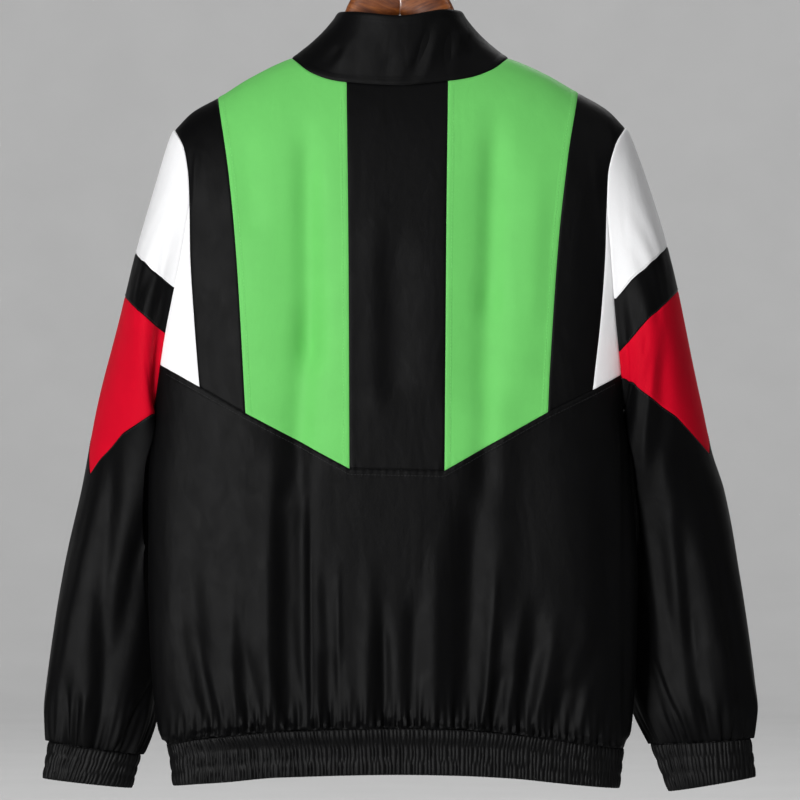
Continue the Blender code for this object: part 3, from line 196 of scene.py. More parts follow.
# Hanger
WIRE_RADIUS = 2.2
HOOK_RADIUS = 19.0
JOINT_ROUND = 0.3
JOINT_HALF_GAP = 0.05
JOINT_ROUND_LENGTH = 1.2
JOINT_STATIONS = (JOINT_HALF_GAP, 0.6, 1.4)
ARM_SPAN = (3.0, 214.0)
ARM_STATIONS = 104
TIP_STATIONS = (216.5, 218.4, 219.6, 220.0)
TIP_START = 218.0
TIP_ROUND = 1.4
WOOD_SIDES = 40
WOOD_POWER = 0.8
WIRE_SIDES = 24
HOOK_STATIONS = 170
# The hook's wire: its stem as places across and heights, then its bend as a range of degrees
HOOK_STEM = ((0.0, -90.0), (0.0, -70.0), (0.0, -57.4), (0.8, -51.0), (4.5, -45.5), (10.0, -41.0))
HOOK_TURN = (-50, 211, 10)
# The ferrule's outline: radius and height
FERRULE = (
    (2.3, -61.6),
    (5.7, -61.6),
    (6, -61.2),
    (6, -59.4),
    (5.6, -58.9),
    (4.6, -58.2),
    (3.4, -57.7),
    (2.3, -57.5),
)

# Rounds in which a grid settles between its edges, and the stations of a line that is measured
PLACE_ROUNDS = 40
BAND_ROUNDS = 8
SEAM_ROUNDS = 30
FINE_STATIONS = 2401
FIRST_HEIGHT = -500.0

# The height at which a panel's width is measured
LOW_PANELS = ("back_lower", "front_left", "front_right")
LOW_MIDDLE = -650.0
HIGH_MIDDLE = -400.0

# The least part of a half length that is left for even steps, and the most of a step that an edge
# is drawn in
LEAST_MIDDLE = 0.4
MOST_DRAWN = 0.45

# Steps of the cloth grids, small beside shoulders and seams
STEP = 3.2
PINCHED_STEP = 1.8
LONG_STEP = 6.8
PANEL_STEP = 4.8
BAND_STEP = 3.6
CUFF_STEP = 3.0
CREST_STEPS = (0.0, 0.1, 0.4, 1.0, 2.0, 3.5, 5.5, 7.5, 9.5, 12.5)
EDGE_STEPS = (0.0, 0.5, 1.1, 2.0, 3.6, 5.0, 5.8, 6.6, 7.6, 9.5)
GATHER_STEPS = EDGE_STEPS + (12.5, 16.0, 20.0, 25.0, 30.5)
CUFF_EDGE = (0.0, 0.4, 0.9, 1.6)

# Colours
BLACK_ALBEDO = (0.0017, 0.0017, 0.0019)
BLACK_SPECULAR = 0.085
RIB_SPECULAR = 0.12
GREEN_ALBEDO = (0.150, 0.560, 0.130)
WHITE_ALBEDO = (0.86, 0.86, 0.87)
RED_ALBEDO = (0.58, 0.003, 0.018)
RIB_ALBEDO = (0.0026, 0.0026, 0.0028)
STEEL_ALBEDO = (0.62, 0.62, 0.63)
TAPE_ALBEDO = (0.012, 0.012, 0.013)
ZIP_ALBEDO = (0.06, 0.06, 0.065)
BLACK_THREAD_ALBEDO = (0.018, 0.018, 0.019)
WHITE_THREAD_ALBEDO = (0.75, 0.75, 0.75)
GREEN_THREAD_ALBEDO = (0.21, 0.66, 0.18)
WOOD_LEAN = math.radians(24)
WOOD_COLOURS = (
    (0.30, (0.070, 0.016, 0.004)),
    (0.47, (0.16, 0.042, 0.009)),
    (0.60, (0.25, 0.072, 0.014)),
    (0.78, (0.36, 0.115, 0.024)),
)

# Studio
VIEW_WIDTH = 0.816
VIEW_MIDDLE = (0.0, -0.5128)
VIEW_DISTANCE = 6.0
SENSOR_WIDTH = 36.0
FLOOR_HEIGHT = -1.35
FLOOR_REACH = 9.5
WALL_CURVE = 3.5
WALL_HEIGHT = 7.0
CURVE_STEPS = 16
FLOOR_SIDES = 96
WORLD_STRENGTH = 0.10
# Lamps on the garment: name, place, what each one faces, size and power
LAMPS = (
    ("key", (-2.5, -4.3, -0.6), (0.0, 0.0, -0.5), (1.6, 1.6), 238.0),
    ("fill", (2.6, -2.9, 3.4), (0.0, 0.0, -0.5), (2.4, 2.4), 42.0),
    ("top", (0.0, 0.9, 3.0), (0.0, 0.0, -0.4), (2.6, 1.6), 6.0),
    ("front", (0.9, 3.4, 3.2), (0.0, 0.0, -0.5), (2.4, 2.0), 120.0),
)
# Lamps on the walls: name, direction in degrees and share of the power
WALL_LAMPS = (("wall_back", 90, 1.0), ("wall_left", 190, 0.15), ("wall_right", -10, 0.15))
WALL_POWER = 560.0
WALL_LAMP_REACH = 4.2
WALL_LAMP_HEIGHT = 5.5
WALL_LAMP_SIZE = (5.0, 1.5)
WALL_TARGET_REACH = 12.5
WALL_TARGET_HEIGHT = 0.5


def table(columns, *rows):
    """Rows of sizes under their column names."""
    return {name: np.array(values, float) for name, values in zip(columns, zip(*rows))}


SHOULDER = table(
    ("across", "height"),
    (-229.5, -237.4),
    (-211.1, -219.1),
    (-185.6, -204.8),
    (-153, -184.4),
    (-112, -164.8),
    (-60, -150),
    (0, -145),
    (60, -150),
    (112, -164.8),
    (145.9, -179.3),
    (181.6, -199.7),
    (211.1, -217),
    (229.5, -235.4),
)
BACK_NECK = table(
    ("across", "height"),
    (-110.2, -164),
    (-91.8, -179.3),
    (-71.4, -187.5),
    (-54.1, -190.5),
    (-1, -193.6),
    (48.7, -189.2),
    (71.4, -185.4),
    (94.9, -176.2),
    (110.2, -164),
)
# The body's widest line on each side, and its depth behind and before the middle plane.
BODY = table(
    ("height", "left", "right", "back", "front"),
    (-145, -250, 245, 60, 60),
    (-235, -250, 243, 61, 60),
    (-330, -250, 240, 64, 62),
    (-410, -250.5, 236, 66, 64),
    (-487, -251.5, 231, 66, 66),
    (-523, -251, 228.5, 65, 66),
    (-549.6, -253.5, 232.5, 65, 66),
    (-592.4, -256.5, 236, 64, 66),
    (-635.2, -257, 239.7, 63, 65),
    (-692.4, -257, 242.8, 62, 64),
    (-735.2, -256.5, 242.3, 61, 63),
    (-778, -254.6, 241.4, 60, 62),
    (-835.2, -249.4, 237.7, 58, 60),
    (-852.5, -246.5, 235.5, 56, 58),
    (-861, -240, 230.5, 53, 55),
    (-868, -236.6, 228.5, 51, 53),
    (-912, -230.8, 223.5, 50, 52),
)
# The armhole seam below the point where it leaves the wedge's inner edge.
ARMHOLE_LEFT = table(
    ("height", "across"),
    (-314, -213.7),
    (-322, -214.8),
    (-360, -221.5),
    (-399.6, -229.5),
    (-444.5, -238.7),
    (-477.1, -244.1),
    (-523, -251),
)
ARMHOLE_RIGHT = table(
    ("height", "across"),
    (-314, 209.9),
    (-322, 210.5),
    (-360, 213.6),
    (-412.9, 217.6),
    (-487.3, 225.1),
    (-523, 228.5),
)
# Seams that run down the upper back.
WEDGE_LEFT = table(
    ("height", "across"),
    (-237.4, -229.5),
    (-257.8, -219.3),
    (-291.5, -214.4),
    (-314, -213.7),
    (-322, -213.5),
    (-360, -213),
    (-428, -209),
    (-499.6, -203.3),
)
WEDGE_RIGHT = table(
    ("height", "across"),
    (-235.4, 229.5),
    (-252.7, 219.3),
    (-285, 211.2),
    (-314, 209.9),
    (-322, 209.5),
    (-360, 208.6),
    (-428, 204),
    (-502.6, 195.5),
)
GREEN_LEFT = table(
    ("height", "across"),
    (-204.8, -185.6),
    (-285.4, -173.4),
    (-373.1, -165.2),
    (-526.1, -156.4),
)
GREEN_RIGHT = table(
    ("height", "across"),
    (-199.7, 181.6),
    (-268, 170),
    (-366.9, 159.8),
    (-525.1, 149.6),
)
CENTER_LEFT = table(
    ("height", "across"),
    (-189.5, -54.1),
    (-359.8, -52),
    (-582.2, -51),
)
CENTER_RIGHT = table(
    ("height", "across"),
    (-189.5, 48.7),
    (-326.2, 46.9),
    (-461.8, 45.9),
    (-584.2, 44.9),
)
YOKE = table(
    ("across", "height"),
    (-244.1, -477.1),
    (-203.3, -499.6),
    (-156.4, -526.1),
    (-51, -582.2),
    (44.9, -584.2),
    (149.6, -525.1),
    (195.5, -502.6),
    (225.1, -487.3),
)
BACK_BAND = table(
    ("across", "top", "bottom"),
    (-236.6, -863.3, -906.6),
    (-207, -858.1, -903.3),
    (-179.5, -854.5, -901),
    (-122.4, -848.4, -895.4),
    (0, -844.9, -892.3),
    (57.1, -846.4, -893.3),
    (114.2, -851.5, -896.4),
    (160.1, -857.6, -901.5),
    (200, -863.7, -906),
    (228.5, -867.8, -909),
)
FRONT_BAND = table(
    ("across", "top", "bottom"),
    (-236.6, -863.3, -906.6),
    (-200, -857.5, -902.5),
    (-120, -850.5, -897),
    (0, -847.5, -895),
    (120, -853.5, -898.5),
    (200, -863.9, -906.2),
    (228.5, -867.8, -909),
)

FOLD_COLUMNS = ("top_across", "top_height", "bottom_across", "bottom_height", "width", "depth")
# Soft troughs of the body: where each one starts and ends, its width and its depth.
BACK_FOLDS = table(
    FOLD_COLUMNS,
    (-102, -270, -110, -560, 30, 6),
    (95, -240, 84, -500, 30, 6),
    (-8, -330, -6, -500, 22, 3),
    (160, -260, 150, -500, 20, 2.5),
    (-214, -720, -191, -850, 12, 4),
    (-162, -750, -148, -850, 11, 4.5),
    (-114, -570, -112, -840, 17, 9),
    (-74, -755, -68, -845, 10, 4),
    (-18, -730, -15, -845, 9, 3.5),
    (16, -700, 11, -845, 10, 4),
    (78, -575, 66, -840, 17, 9),
    (107, -775, 95, -850, 9, 4),
    (144, -740, 122, -850, 12, 4.5),
    (170, -790, 153, -855, 10, 3.5),
    (200, -745, 170, -855, 12, 4),
)
FRONT_FOLDS = table(
    FOLD_COLUMNS,
    (-170, -300, -120, -560, 24, 5),
    (165, -300, 112, -580, 24, 5),
    (-96, -520, -92, -850, 18, 6),
    (88, -560, 98, -850, 18, 6),
    (-48, -700, -46, -855, 12, 4),
    (50, -680, 44, -855, 12, 4),
    (-180, -640, -160, -855, 14, 5),
    (176, -660, 150, -855, 14, 5),
    (-136, -740, -128, -855, 11, 4),
    (134, -760, 122, -855, 11, 4),
)

# Each sleeve's outer and inner line, and its half depth, by share of its length.
SLEEVE_COLUMNS = (
    "share",
    "out_across",
    "out_depth",
    "out_height",
    "in_across",
    "in_depth",
    "in_height",
    "half_depth",
)
SLEEVE_LEFT = table(
    SLEEVE_COLUMNS,
    (0, -229.5, 0, -237.4, -251, 0, -523, 38),
    (0.05, -242.8, 3, -271.1, -252, 4, -524, 44),
    (0.10, -251.9, 6, -299.7, -252, 10, -526, 50),
    (0.20, -270.3, 12, -362.4, -250, 24, -531, 58),
    (0.27, -281.5, 16, -407.8, -246, 36, -538, 62),
    (0.41, -300.9, 24, -492.4, -236, 58, -562, 64),
    (0.565, -318.2, 30, -589.3, -232, 72, -612, 60),
    (0.685, -335.6, 33, -663.8, -234, 74, -674, 56),
    (0.79, -350.9, 35, -732.1, -238, 70, -737, 50),
    (0.87, -359.4, 36, -781.1, -243, 62, -786, 44),
    (0.95, -365.2, 37, -829, -249, 52, -838, 36),
    (0.985, -366, 37, -855, -253, 47, -862, 29),
    (1, -360.5, 37, -862.5, -266, 44, -877, 21),
)
SLEEVE_RIGHT = table(
    SLEEVE_COLUMNS,
    (0, 229.5, 0, -235.4, 228.5, 0, -523, 38),
    (0.063, 246.8, 3.5, -274.2, 229.5, 6, -525, 46),
    (0.12, 260.1, 8, -309.9, 229, 14, -528, 52),
    (0.193, 273.4, 12, -355.8, 227, 24, -532, 58),
    (0.267, 284.6, 16, -401.7, 222, 36, -539, 62),
    (0.444, 306, 25, -512.8, 213, 60, -574, 64),
    (0.53, 317.2, 28, -566.9, 212, 68, -604, 61),
    (0.593, 330, 30, -606.7, 213, 73, -634, 59),
    (0.725, 346.8, 34, -689.3, 217, 73, -702, 54),
    (0.821, 357, 36, -749.5, 222, 68, -760, 48),
    (0.902, 364.1, 37, -800.5, 232, 58, -812, 41),
    (0.948, 367.2, 37, -829, 241, 52, -838, 36),
    (0.985, 366.2, 37, -852.5, 251, 47, -858, 29),
    (1, 360, 37, -860, 257, 44, -866, 21),
)
CUFF_LEFT = (-366.8, 37.0, -901.0, -275.4, 44.0, -911.5, 18.0)
CUFF_RIGHT = (365.2, 37.0, -899.5, 276.0, 44.0, -915.0, 18.0)
# Troughs that run down each sleeve: angle round it, shares where they start and end, width and depth.
SLEEVE_FOLDS = table(
    ("angle", "from_share", "to_share", "width", "depth"),
    (88, 0.50, 0.97, 14, 6),
    (140, 0.34, 0.70, 14, 4),
    (40, 0.86, 0.99, 10, 3.5),
    (-70, 0.45, 0.96, 14, 5),
    (-125, 0.40, 0.80, 14, 4),
    (-30, 0.88, 0.99, 10, 3),
)

HANGER = table(
    ("across", "below_shoulder", "top", "drop", "half_thickness"),
    (0.15, 0, -62, 58, 7.5),
    (14, 0, -64, 62, 7.5),
    (32, 0, -77, 63, 7.6),
    (46, 0, -97, 58, 7.8),
    (56, 0, -116, 53, 8),
    (61, 0, -138, 44, 8.2),
    (76, 0, -156.5, 42, 8.8),
    (96, 0, -166, 42, 9.4),
    (114, 3.9, 0, 42, 10),
    (150, 3.4, 0, 39, 11),
    (182, 3.4, 0, 35, 11.8),
    (206, 4.4, 0, 29, 11.4),
    (216, 6.9, 0, 21, 8.5),
    (220, 10.9, 0, 12, 5),
)

# Creases of the body beside the broad folds: troughs, and ridges where the depth is negative.
BACK_CREASES = table(
    FOLD_COLUMNS,
    (-95, -205, -92, -470, 13, 8.6),
    (-92, -390, -106, -600, 14, 6.5),
    (97, -200, 92, -420, 13, 7),
    (90, -370, 85, -600, 13, 5),
    (-155, -235, -150, -340, 13, 2),
    (-25, -290, -25, -520, 11, -1.4),
    (-203, -243, -211, -312, 3.4, -1.3),
    (196, -250, 204, -330, 4, -1.1),
    (140, -250, 136, -420, 12, -1.5),
    (-130, -540, -128, -850, 9, -2.4),
    (194, -470, 188, -860, 44, -6),
    (128, -440, 118, -800, 22, 2),
    (-99, -560, -98, -850, 8, 5),
    (-217, -660, -194, -850, 11, 2.2),
    (-165, -720, -149, -850, 9, 2),
    (-77, -660, -69, -850, 7, 2.6),
    (-18, -700, -15, -850, 6, 3),
    (104, -720, 95, -850, 8, 2.4),
    (142, -700, 122, -850, 9, 2.2),
    (172, -750, 154, -850, 8, 2.4),
    (-91.5, -600, -90, -845, 2.6, -2.2),
    (-63, -660, -62, -845, 3, -1.2),
    (-172, -700, -166, -830, 6, -1.6),
    (-136, -640, -132, -840, 9, -2),
    (-30, -650, -33, -845, 8, -1.4),
    (36, -640, 34, -845, 9, -1.8),
    (98, -660, 86, -845, 6, -2),
    (126, -700, 110, -845, 7, -1.8),
    (158, -720, 138, -850, 7, -1.7),
    (190, -700, 186, -840, 8, -1.5),
    (-206, -600, -214, -760, 14, 2.2),
    (206, -560, 214, -760, 14, 2.2),
)
FRONT_CREASES = table(
    FOLD_COLUMNS,
    (-150, -240, -176, -420, 12, 3),
    (146, -236, 172, -430, 12, 3.2),
    (-70, -300, -64, -560, 12, 2),
    (66, -320, 60, -540, 12, 2.2),
    (-84, -600, -80, -850, 3, -1.6),
    (104, -620, 108, -850, 3.2, -1.5),
    (-200, -580, -212, -760, 13, 2.4),
    (198, -600, 208, -780, 13, 2.4),
    (-118, -690, -112, -850, 7, -1.8),
    (70, -700, 68, -850, 7, -1.8),
    (-32, -760, -32, -855, 6, -1.2),
    (30, -750, 31, -855, 6, -1.2),
)
# Short ridges that stand over the back hem band: place, reach above the band, and height.
HEM_RIDGES = table(
    ("across", "reach", "height"),
    (-221, 12, 1),
    (-208, 22, 1.6),
    (-194, 30, 1.9),
    (-175, 46, 2.2),
    (-157, 20, 1.5),
    (-143, 34, 2.3),
    (-129, 15, 1.4),
    (-119, 26, 2),
    (-106, 13, 1.3),
    (-95, 42, 2.2),
    (-80, 18, 1.6),
    (-65, 38, 2.1),
    (-48, 24, 1.8),
    (-32, 30, 1.6),
    (-12, 16, 1.5),
    (4, 22, 1.7),
    (19, 34, 1.9),
    (31, 14, 1.4),
    (49, 27, 1.9),
    (64, 16, 1.5),
    (82, 36, 2.2),
    (101, 24, 1.8),
    (116, 13, 1.4),
    (131, 33, 2.1),
    (148, 26, 1.9),
    (161, 14, 1.3),
    (174, 30, 2),
    (189, 21, 1.6),
    (203, 25, 1.7),
    (216, 11, 1),
)
# Soft creases of the stand collar's back, by place across it and share of its height.
COLLAR_CREASES = table(
    ("from_across", "from_share", "to_across", "to_share", "width", "height"),
    (12, 0.12, 42, 0.75, 7, -1.7),
    (26, 0.10, 54, 0.70, 6, 1.3),
    (52, 0.20, 70, 0.66, 6, -1.6),
    (68, 0.35, 78, 0.62, 6, 1.4),
    (84, 0.28, 93, 0.58, 5, -1.3),
    (-82, 0.14, -77, 0.46, 6, -1.3),
    (-68, 0.20, -66, 0.66, 9, 1.2),
    (-42, 0.10, -37, 0.60, 10, 0.8),
    (-20, 0.10, -10, 0.42, 8, -0.9),
)
RIDGE_WIDTH = 4.6
RIDGE_GAIN = 1.5
RIDGE_SINK = 0.5
PINCH_HEIGHT = 2.0
PINCH_REACH = 15.0
PINCH_PITCH = 7.6
RIDGE_LEAN = 0.0016
YOKE_PUCKER = 0.28
YOKE_PUCKER_PITCH = 8.0
YOKE_PUCKER_REACH = 5

CREASE_COLUMNS = ("from_angle", "from_share", "to_angle", "to_share", "width", "depth")
# Creases of each sleeve beside its broad folds; angles in degrees round it, the back positive.
SLEEVE_CREASES = {
    "left": table(
        CREASE_COLUMNS,
        (30, 0.50, 70, 0.86, 11, 4.6),
        (64, 0.76, 93, 1, 9, 4.2),
        (8, 0.045, 62, 0.075, 8, 2.6),
        (52, 0.080, 100, 0.110, 9, 2),
        (20, 0.090, 30, 0.230, 10, 1.4),
        (75, 0.065, 58, 0.225, 8, 3.2),
        (38, 0.080, 44, 0.250, 7, 1.8),
        (43, 0.915, 52, 1, 4.5, 3.4),
        (58, 0.920, 65, 1, 4.5, 3),
        (69, 0.920, 76, 1, 4, -2.6),
        (112, 0.46, 96, 0.72, 8, -2),
        (20, 0.60, 34, 0.90, 9, -1.8),
        (140, 0.885, 108, 1, 2.6, 1.5),
        (136, 0.880, 101, 1, 4, -1),
        (-40, 0.50, -66, 0.84, 11, 4.2),
        (-84, 0.62, -98, 0.97, 10, 3.6),
        (-10, 0.060, -70, 0.085, 9, 2.4),
        (-20, 0.62, -30, 0.93, 9, -1.8),
        (-130, 0.30, -150, 0.62, 12, 3),
    ),
    "right": table(
        CREASE_COLUMNS,
        (58, 0.45, 80, 0.78, 9, -3),
        (78, 0.70, 91, 0.97, 8, -2.4),
        (64, 0.62, 72, 0.84, 8, 4),
        (70, 0.78, 82, 0.98, 8, 3.6),
        (46, 0.66, 51, 0.95, 8, -2.2),
        (32, 0.55, 36, 0.90, 9, 2.6),
        (104, 0.50, 112, 0.82, 9, 3),
        (10, 0.050, 70, 0.080, 8, 2.2),
        (18, 0.100, 32, 0.250, 10, 1.4),
        (70, 0.060, 62, 0.240, 7, 2.8),
        (46, 0.070, 46, 0.250, 7, 2.2),
        (98, 0.090, 90, 0.230, 6, 1.8),
        (77, 0.930, 78, 1, 4, 2.8),
        (62, 0.940, 63, 1, 4, 2.6),
        (46, 0.945, 46, 1, 4, 2.4),
        (35, 0.950, 35, 1, 4, 2.2),
        (78, 0.280, 84, 0.520, 7, -2.4),
        (60, 0.280, 62, 0.500, 11, 4),
        (130, 0.180, 120, 0.950, 16, 8),
        (114, 0.860, 104, 0.99, 2.6, 1.4),
        (110, 0.855, 98, 0.99, 4, -1),
        (-44, 0.46, -72, 0.82, 11, 4.4),
        (-80, 0.66, -92, 0.98, 10, 3.2),
        (-8, 0.055, -66, 0.090, 9, 2.2),
        (-24, 0.58, -34, 0.94, 9, -1.8),
        (-126, 0.34, -146, 0.66, 12, 3),
    ),
}


def curve(xs, ys):
    """A smooth line through a table's points that never overshoots them."""
    if xs[0] > xs[-1]:
        xs, ys = xs[::-1], ys[::-1]
    step = np.diff(xs)
    slope = np.diff(ys) / step
    bend = np.zeros(len(xs))
    bend[0] = slope[0]
    bend[-1] = slope[-1]
    for i in range(1, len(slope)):
        if slope[i - 1] * slope[i] > 0:
            bend[i] = 2 * slope[i - 1] * slope[i] / (slope[i - 1] + slope[i])

    def at(x):
        x = np.clip(x, xs[0], xs[-1])
        i = np.clip(np.searchsorted(xs, x, side="right") - 1, 0, len(step) - 1)
        t = (x - xs[i]) / step[i]
        rise = (3 - 2 * t) * t * t
        start = t * (1 - t) ** 2
        end = t * t * (t - 1)
        return ys[i] + (ys[i + 1] - ys[i]) * rise + step[i] * (start * bend[i] + end * bend[i + 1])

    return at


def polyline(xs, ys):
    return lambda x: np.interp(x, xs, ys)


def ease(t):
    t = np.clip(t, 0, 1)
    return t * t * (3 - 2 * t)


def rows_of(sizes):
    """A table's rows, one after the other."""
    return zip(*sizes.values())


def line_of(sizes):
    """The smooth line through a table of two columns."""
    return curve(*sizes.values())


def unit(ways):
    """Each direction at a length of one."""
    return ways / np.linalg.norm(ways, axis=-1, keepdims=True)


def path_length(points):
    """The distance from the start of a path, or of each column of a grid, to each of its points."""
    gaps = np.linalg.norm(np.diff(points, axis=0), axis=-1)
    return np.concatenate([np.zeros((1, *gaps.shape[1:])), np.cumsum(gaps, axis=0)])


def on_path(at, length, values):
    """A path's values at distances along it."""
    return np.stack([np.interp(at, length, values[:, i]) for i in range(values.shape[1])], -1)


shoulder = line_of(SHOULDER)
back_neck = line_of(BACK_NECK)
yoke = polyline(*YOKE.values())
left_edge, right_edge, back_depth, front_depth = (
    curve(BODY["height"], BODY[name]) for name in ("left", "right", "back", "front")
)
back_band_top, back_band_bottom, front_band_top, front_band_bottom = (
    curve(band["across"], band[name]) for band in (BACK_BAND, FRONT_BAND) for name in ("top", "bottom")
)
wedge_line = {"left": line_of(WEDGE_LEFT), "right": line_of(WEDGE_RIGHT)}
lower_armhole = {"left": line_of(ARMHOLE_LEFT), "right": line_of(ARMHOLE_RIGHT)}
green_line = {"left": line_of(GREEN_LEFT), "right": line_of(GREEN_RIGHT)}
center_line = {"left": line_of(CENTER_LEFT), "right": line_of(CENTER_RIGHT)}
tip_height = {"left": WEDGE_LEFT["height"][0], "right": WEDGE_RIGHT["height"][0]}


def armhole_across(side, z):
    return np.where(z > ARMHOLE_SPLIT_HEIGHT, wedge_line[side](z), lower_armhole[side](z))


armhole = {side: (lambda z, side=side: armhole_across(side, z)) for side in SIGN}


def front_neck(x):
    share = np.clip(np.abs(x) / NECK_HALF_WIDTH, 0, 1)
    return NECK_SIDE_HEIGHT - NECK_FRONT_DROP * (1 - share**NECK_FRONT_POWER)


def back_top(x):
    return np.where(np.abs(x) < NECK_HALF_WIDTH, back_neck(x), shoulder(x))


def front_top(x):
    return np.where(np.abs(x) < NECK_HALF_WIDTH, front_neck(x), shoulder(x))


def half_depth(x, z, facing):
    """How far the cloth lies from the middle plane: facing is -1 for the back and 1 for the front."""
    left = left_edge(z)
    right = right_edge(z)
    middle = (left + right) / 2
    share = np.clip(np.abs(x - middle) / ((right - left) / 2), 0, 1)
    full = np.where(facing < 0, back_depth(z), front_depth(z))
    flat = full * (1 - share**SECTION_POWER) ** (1 / SECTION_POWER)
    drop = np.maximum(LEAST_CREST_DROP, flat**2 / CREST_RADIUS)
    t = np.clip((shoulder(x) - z) / drop, 0, 1)
    return flat * np.sqrt(1 - (1 - t) ** 2)


def body_normal(x, z, facing):
    """The outward direction of the unfolded cloth."""
    e = NORMAL_STEP
    square_x = (half_depth(x + e, z, facing) ** 2 - half_depth(x - e, z, facing) ** 2) / (2 * e)
    square_z = (half_depth(x, z + e, facing) ** 2 - half_depth(x, z - e, facing) ** 2) / (2 * e)
    normal = np.stack([-square_x, 2 * facing * half_depth(x, z, facing), -square_z], -1)
    return unit(normal)


def fold_depth(folds, x, z):
    """How far the table's troughs draw the cloth in at a place."""
    depth = np.zeros(np.broadcast(x, z).shape)
    for top_x, top_z, bottom_x, bottom_z, width, deepest in rows_of(folds):
        along = (z - top_z) / (bottom_z - top_z)
        middle = top_x + (bottom_x - top_x) * along
        fade = ease(along / TROUGH_START) * ease((TROUGH_REACH - along) / TROUGH_END)
        depth += deepest * fade * np.exp(-(((x - middle) / width) ** 2))
    return depth


def hem_ridges(x, above):
    """Narrow ridges of the drawn-in back, each leaning and fading at its own height."""
    height = np.zeros(np.broadcast(x, above).shape)
    for across, reach, tall in rows_of(HEM_RIDGES):
        middle = across * (1 + RIDGE_LEAN * above)
        width = RIDGE_WIDTH * (0.75 + 0.25 * np.clip(above / reach, 0, 2))
        fade = np.exp(-((above / (1.6 * reach)) ** 1.6))
        height += tall * fade * np.exp(-(((x - middle) / width) ** 2))
    return height


def gather_height(x, z, facing):
    """Small waves where the body is drawn into the hem band, flat again at the seam itself."""
    above = np.maximum(z - (back_band_top(x) if facing < 0 else front_band_top(x)), 0)
    if facing < 0:
        pinch = np.cos(2 * np.pi * x / PINCH_PITCH + 2.2 * np.sin(x / 27) + 1.1 * np.sin(x / 11))
        pinch = pinch * PINCH_HEIGHT * np.exp(-((above / PINCH_REACH) ** 1.4))
        drawn = RIDGE_GAIN * hem_ridges(x, above) - RIDGE_SINK + pinch
        return drawn * ease(above / BACK_SEAM_FLAT) * ease((DRAWN_REACH - above) / DRAWN_FADE)
    left = left_edge(z)
    right = right_edge(z)
    share = np.clip((x - (left + right) / 2) / ((right - left) / 2), -1, 1)
    turn = np.arcsin(share) / np.pi + 0.5
    uneven = 0.7 + 0.3 * np.sin(19.0 * turn * 2 * np.pi + 1.0)
    sides = ease(np.minimum(turn, 1 - turn) / GATHER_FROM_SIDE)
    sides = sides * ease((np.abs(x) - PLACKET) / GATHER_FROM_PLACKET)
    wave = np.cos(2 * np.pi * (2 * FRONT_GATHERS * turn + 0.35 * np.sin(7 * turn)))
    waves = GATHER_DEPTH * uneven * sides * np.exp(-above / GATHER_LENGTH) * wave
    return waves * ease(above / SEAM_FLAT)


def yoke_pucker(x, z):
    """Small waves that the yoke seam's sewing leaves beside it."""
    away = np.abs(z - yoke(x))
    waves = np.cos(2 * np.pi * x / YOKE_PUCKER_PITCH + 0.9 * np.sin(x / 23))
    return YOKE_PUCKER * np.exp(-away / YOKE_PUCKER_REACH) * waves


def body_points(x, z, facing):
    """Outer points of the creased cloth at the given places, and the directions its wall runs in."""
    x, z = np.broadcast_arrays(np.asarray(x, float), np.asarray(z, float))
    normal = body_normal(x, z, facing)
    y = facing * half_depth(x, z, facing)
    folds = (BACK_FOLDS, BACK_CREASES) if facing < 0 else (FRONT_FOLDS, FRONT_CREASES)
    inward = sum(fold_depth(sizes, x, z) for sizes in folds)
    if facing > 0:
        inward = inward * ease((np.abs(x) - PLACKET) / FOLD_FROM_PLACKET)
    inward = inward * np.abs(normal[..., 1]) - gather_height(x, z, facing)
    if facing < 0:
        inward = inward - yoke_pucker(x, z)
    points = np.stack([x, y, z], -1)
    wall = normal
    for side, sign in SIGN.items():
        root_z = np.maximum(z, UNDERARM_HEIGHT)
        root_x = armhole[side](root_z)
        root = np.stack([root_x, facing * half_depth(root_x, root_z, facing), root_z], -1)
        away = np.linalg.norm(points - root, axis=-1)
        wall = turned(wall, away, *mitre(side, root_z, facing)[:2])
        inward = inward * ease((root_x - x) * sign / FOLD_FROM_ARMHOLE)
    return points - normal * inward[..., None], wall


def turned(wall, away, mitred, plain):
    """Turns a wall's directions towards a seam's mitre where it comes near the seam."""
    share = np.clip(1 - away / MITRE_REACH, 0, 1)[..., None]
    return wall + (mitred - plain) * share


def places(left, right, top, bottom, us, vs):
    """A grid of (across, height) between two seams, a top edge and a bottom edge."""
    u = np.asarray(us)[None, :]
    v = np.asarray(vs)[:, None]
    z = np.full((v.size, u.size), FIRST_HEIGHT)
    for _ in range(PLACE_ROUNDS):
        x = left(z) + (right(z) - left(z)) * u
        z = top(x) + (bottom(x) - top(x)) * v
    return x, z


def graded(length, start=EDGE_STEPS, end=EDGE_STEPS, step=STEP):
    """Shares of a length whose steps are short beside its two ends."""
    start, end = (np.array([s for s in steps if s < length / 2 - LEAST_MIDDLE]) for steps in (start, end))
    count = max(1, round((length - start[-1] - end[-1]) / step))
    middle = np.linspace(start[-1], length - end[-1], count + 1)
    return np.concatenate([start[:-1], middle, length - end[-2::-1]]) / length


def drawn_in(points, by, closed):
    """Moves a grid's edge points inwards along the cloth, which leaves half a seam's gap."""
    moved = points.copy()

    def draw(edge, inner):
        way = inner - edge
        length = np.linalg.norm(way, axis=-1, keepdims=True)
        return way * np.minimum(by / np.maximum(length, 1e-9), MOST_DRAWN)

    moved[0] += draw(points[0], points[1])
    moved[-1] += draw(points[-1], points[-2])
    if not closed:
        moved[:, 0] += draw(points[:, 0], points[:, 1])
        moved[:, -1] += draw(points[:, -1], points[:, -2])
    return moved


def edge_distances(points, closed):
    """Each grid point's distance along the cloth from the grid's top, bottom, left and right edges."""
    down = path_length(points)
    sides = {"top": down, "bottom": down[-1:] - down}
    if not closed:
        across = path_length(points.swapaxes(0, 1)).T
        sides["left"] = across
        sides["right"] = across[:, -1:] - across
    return sides


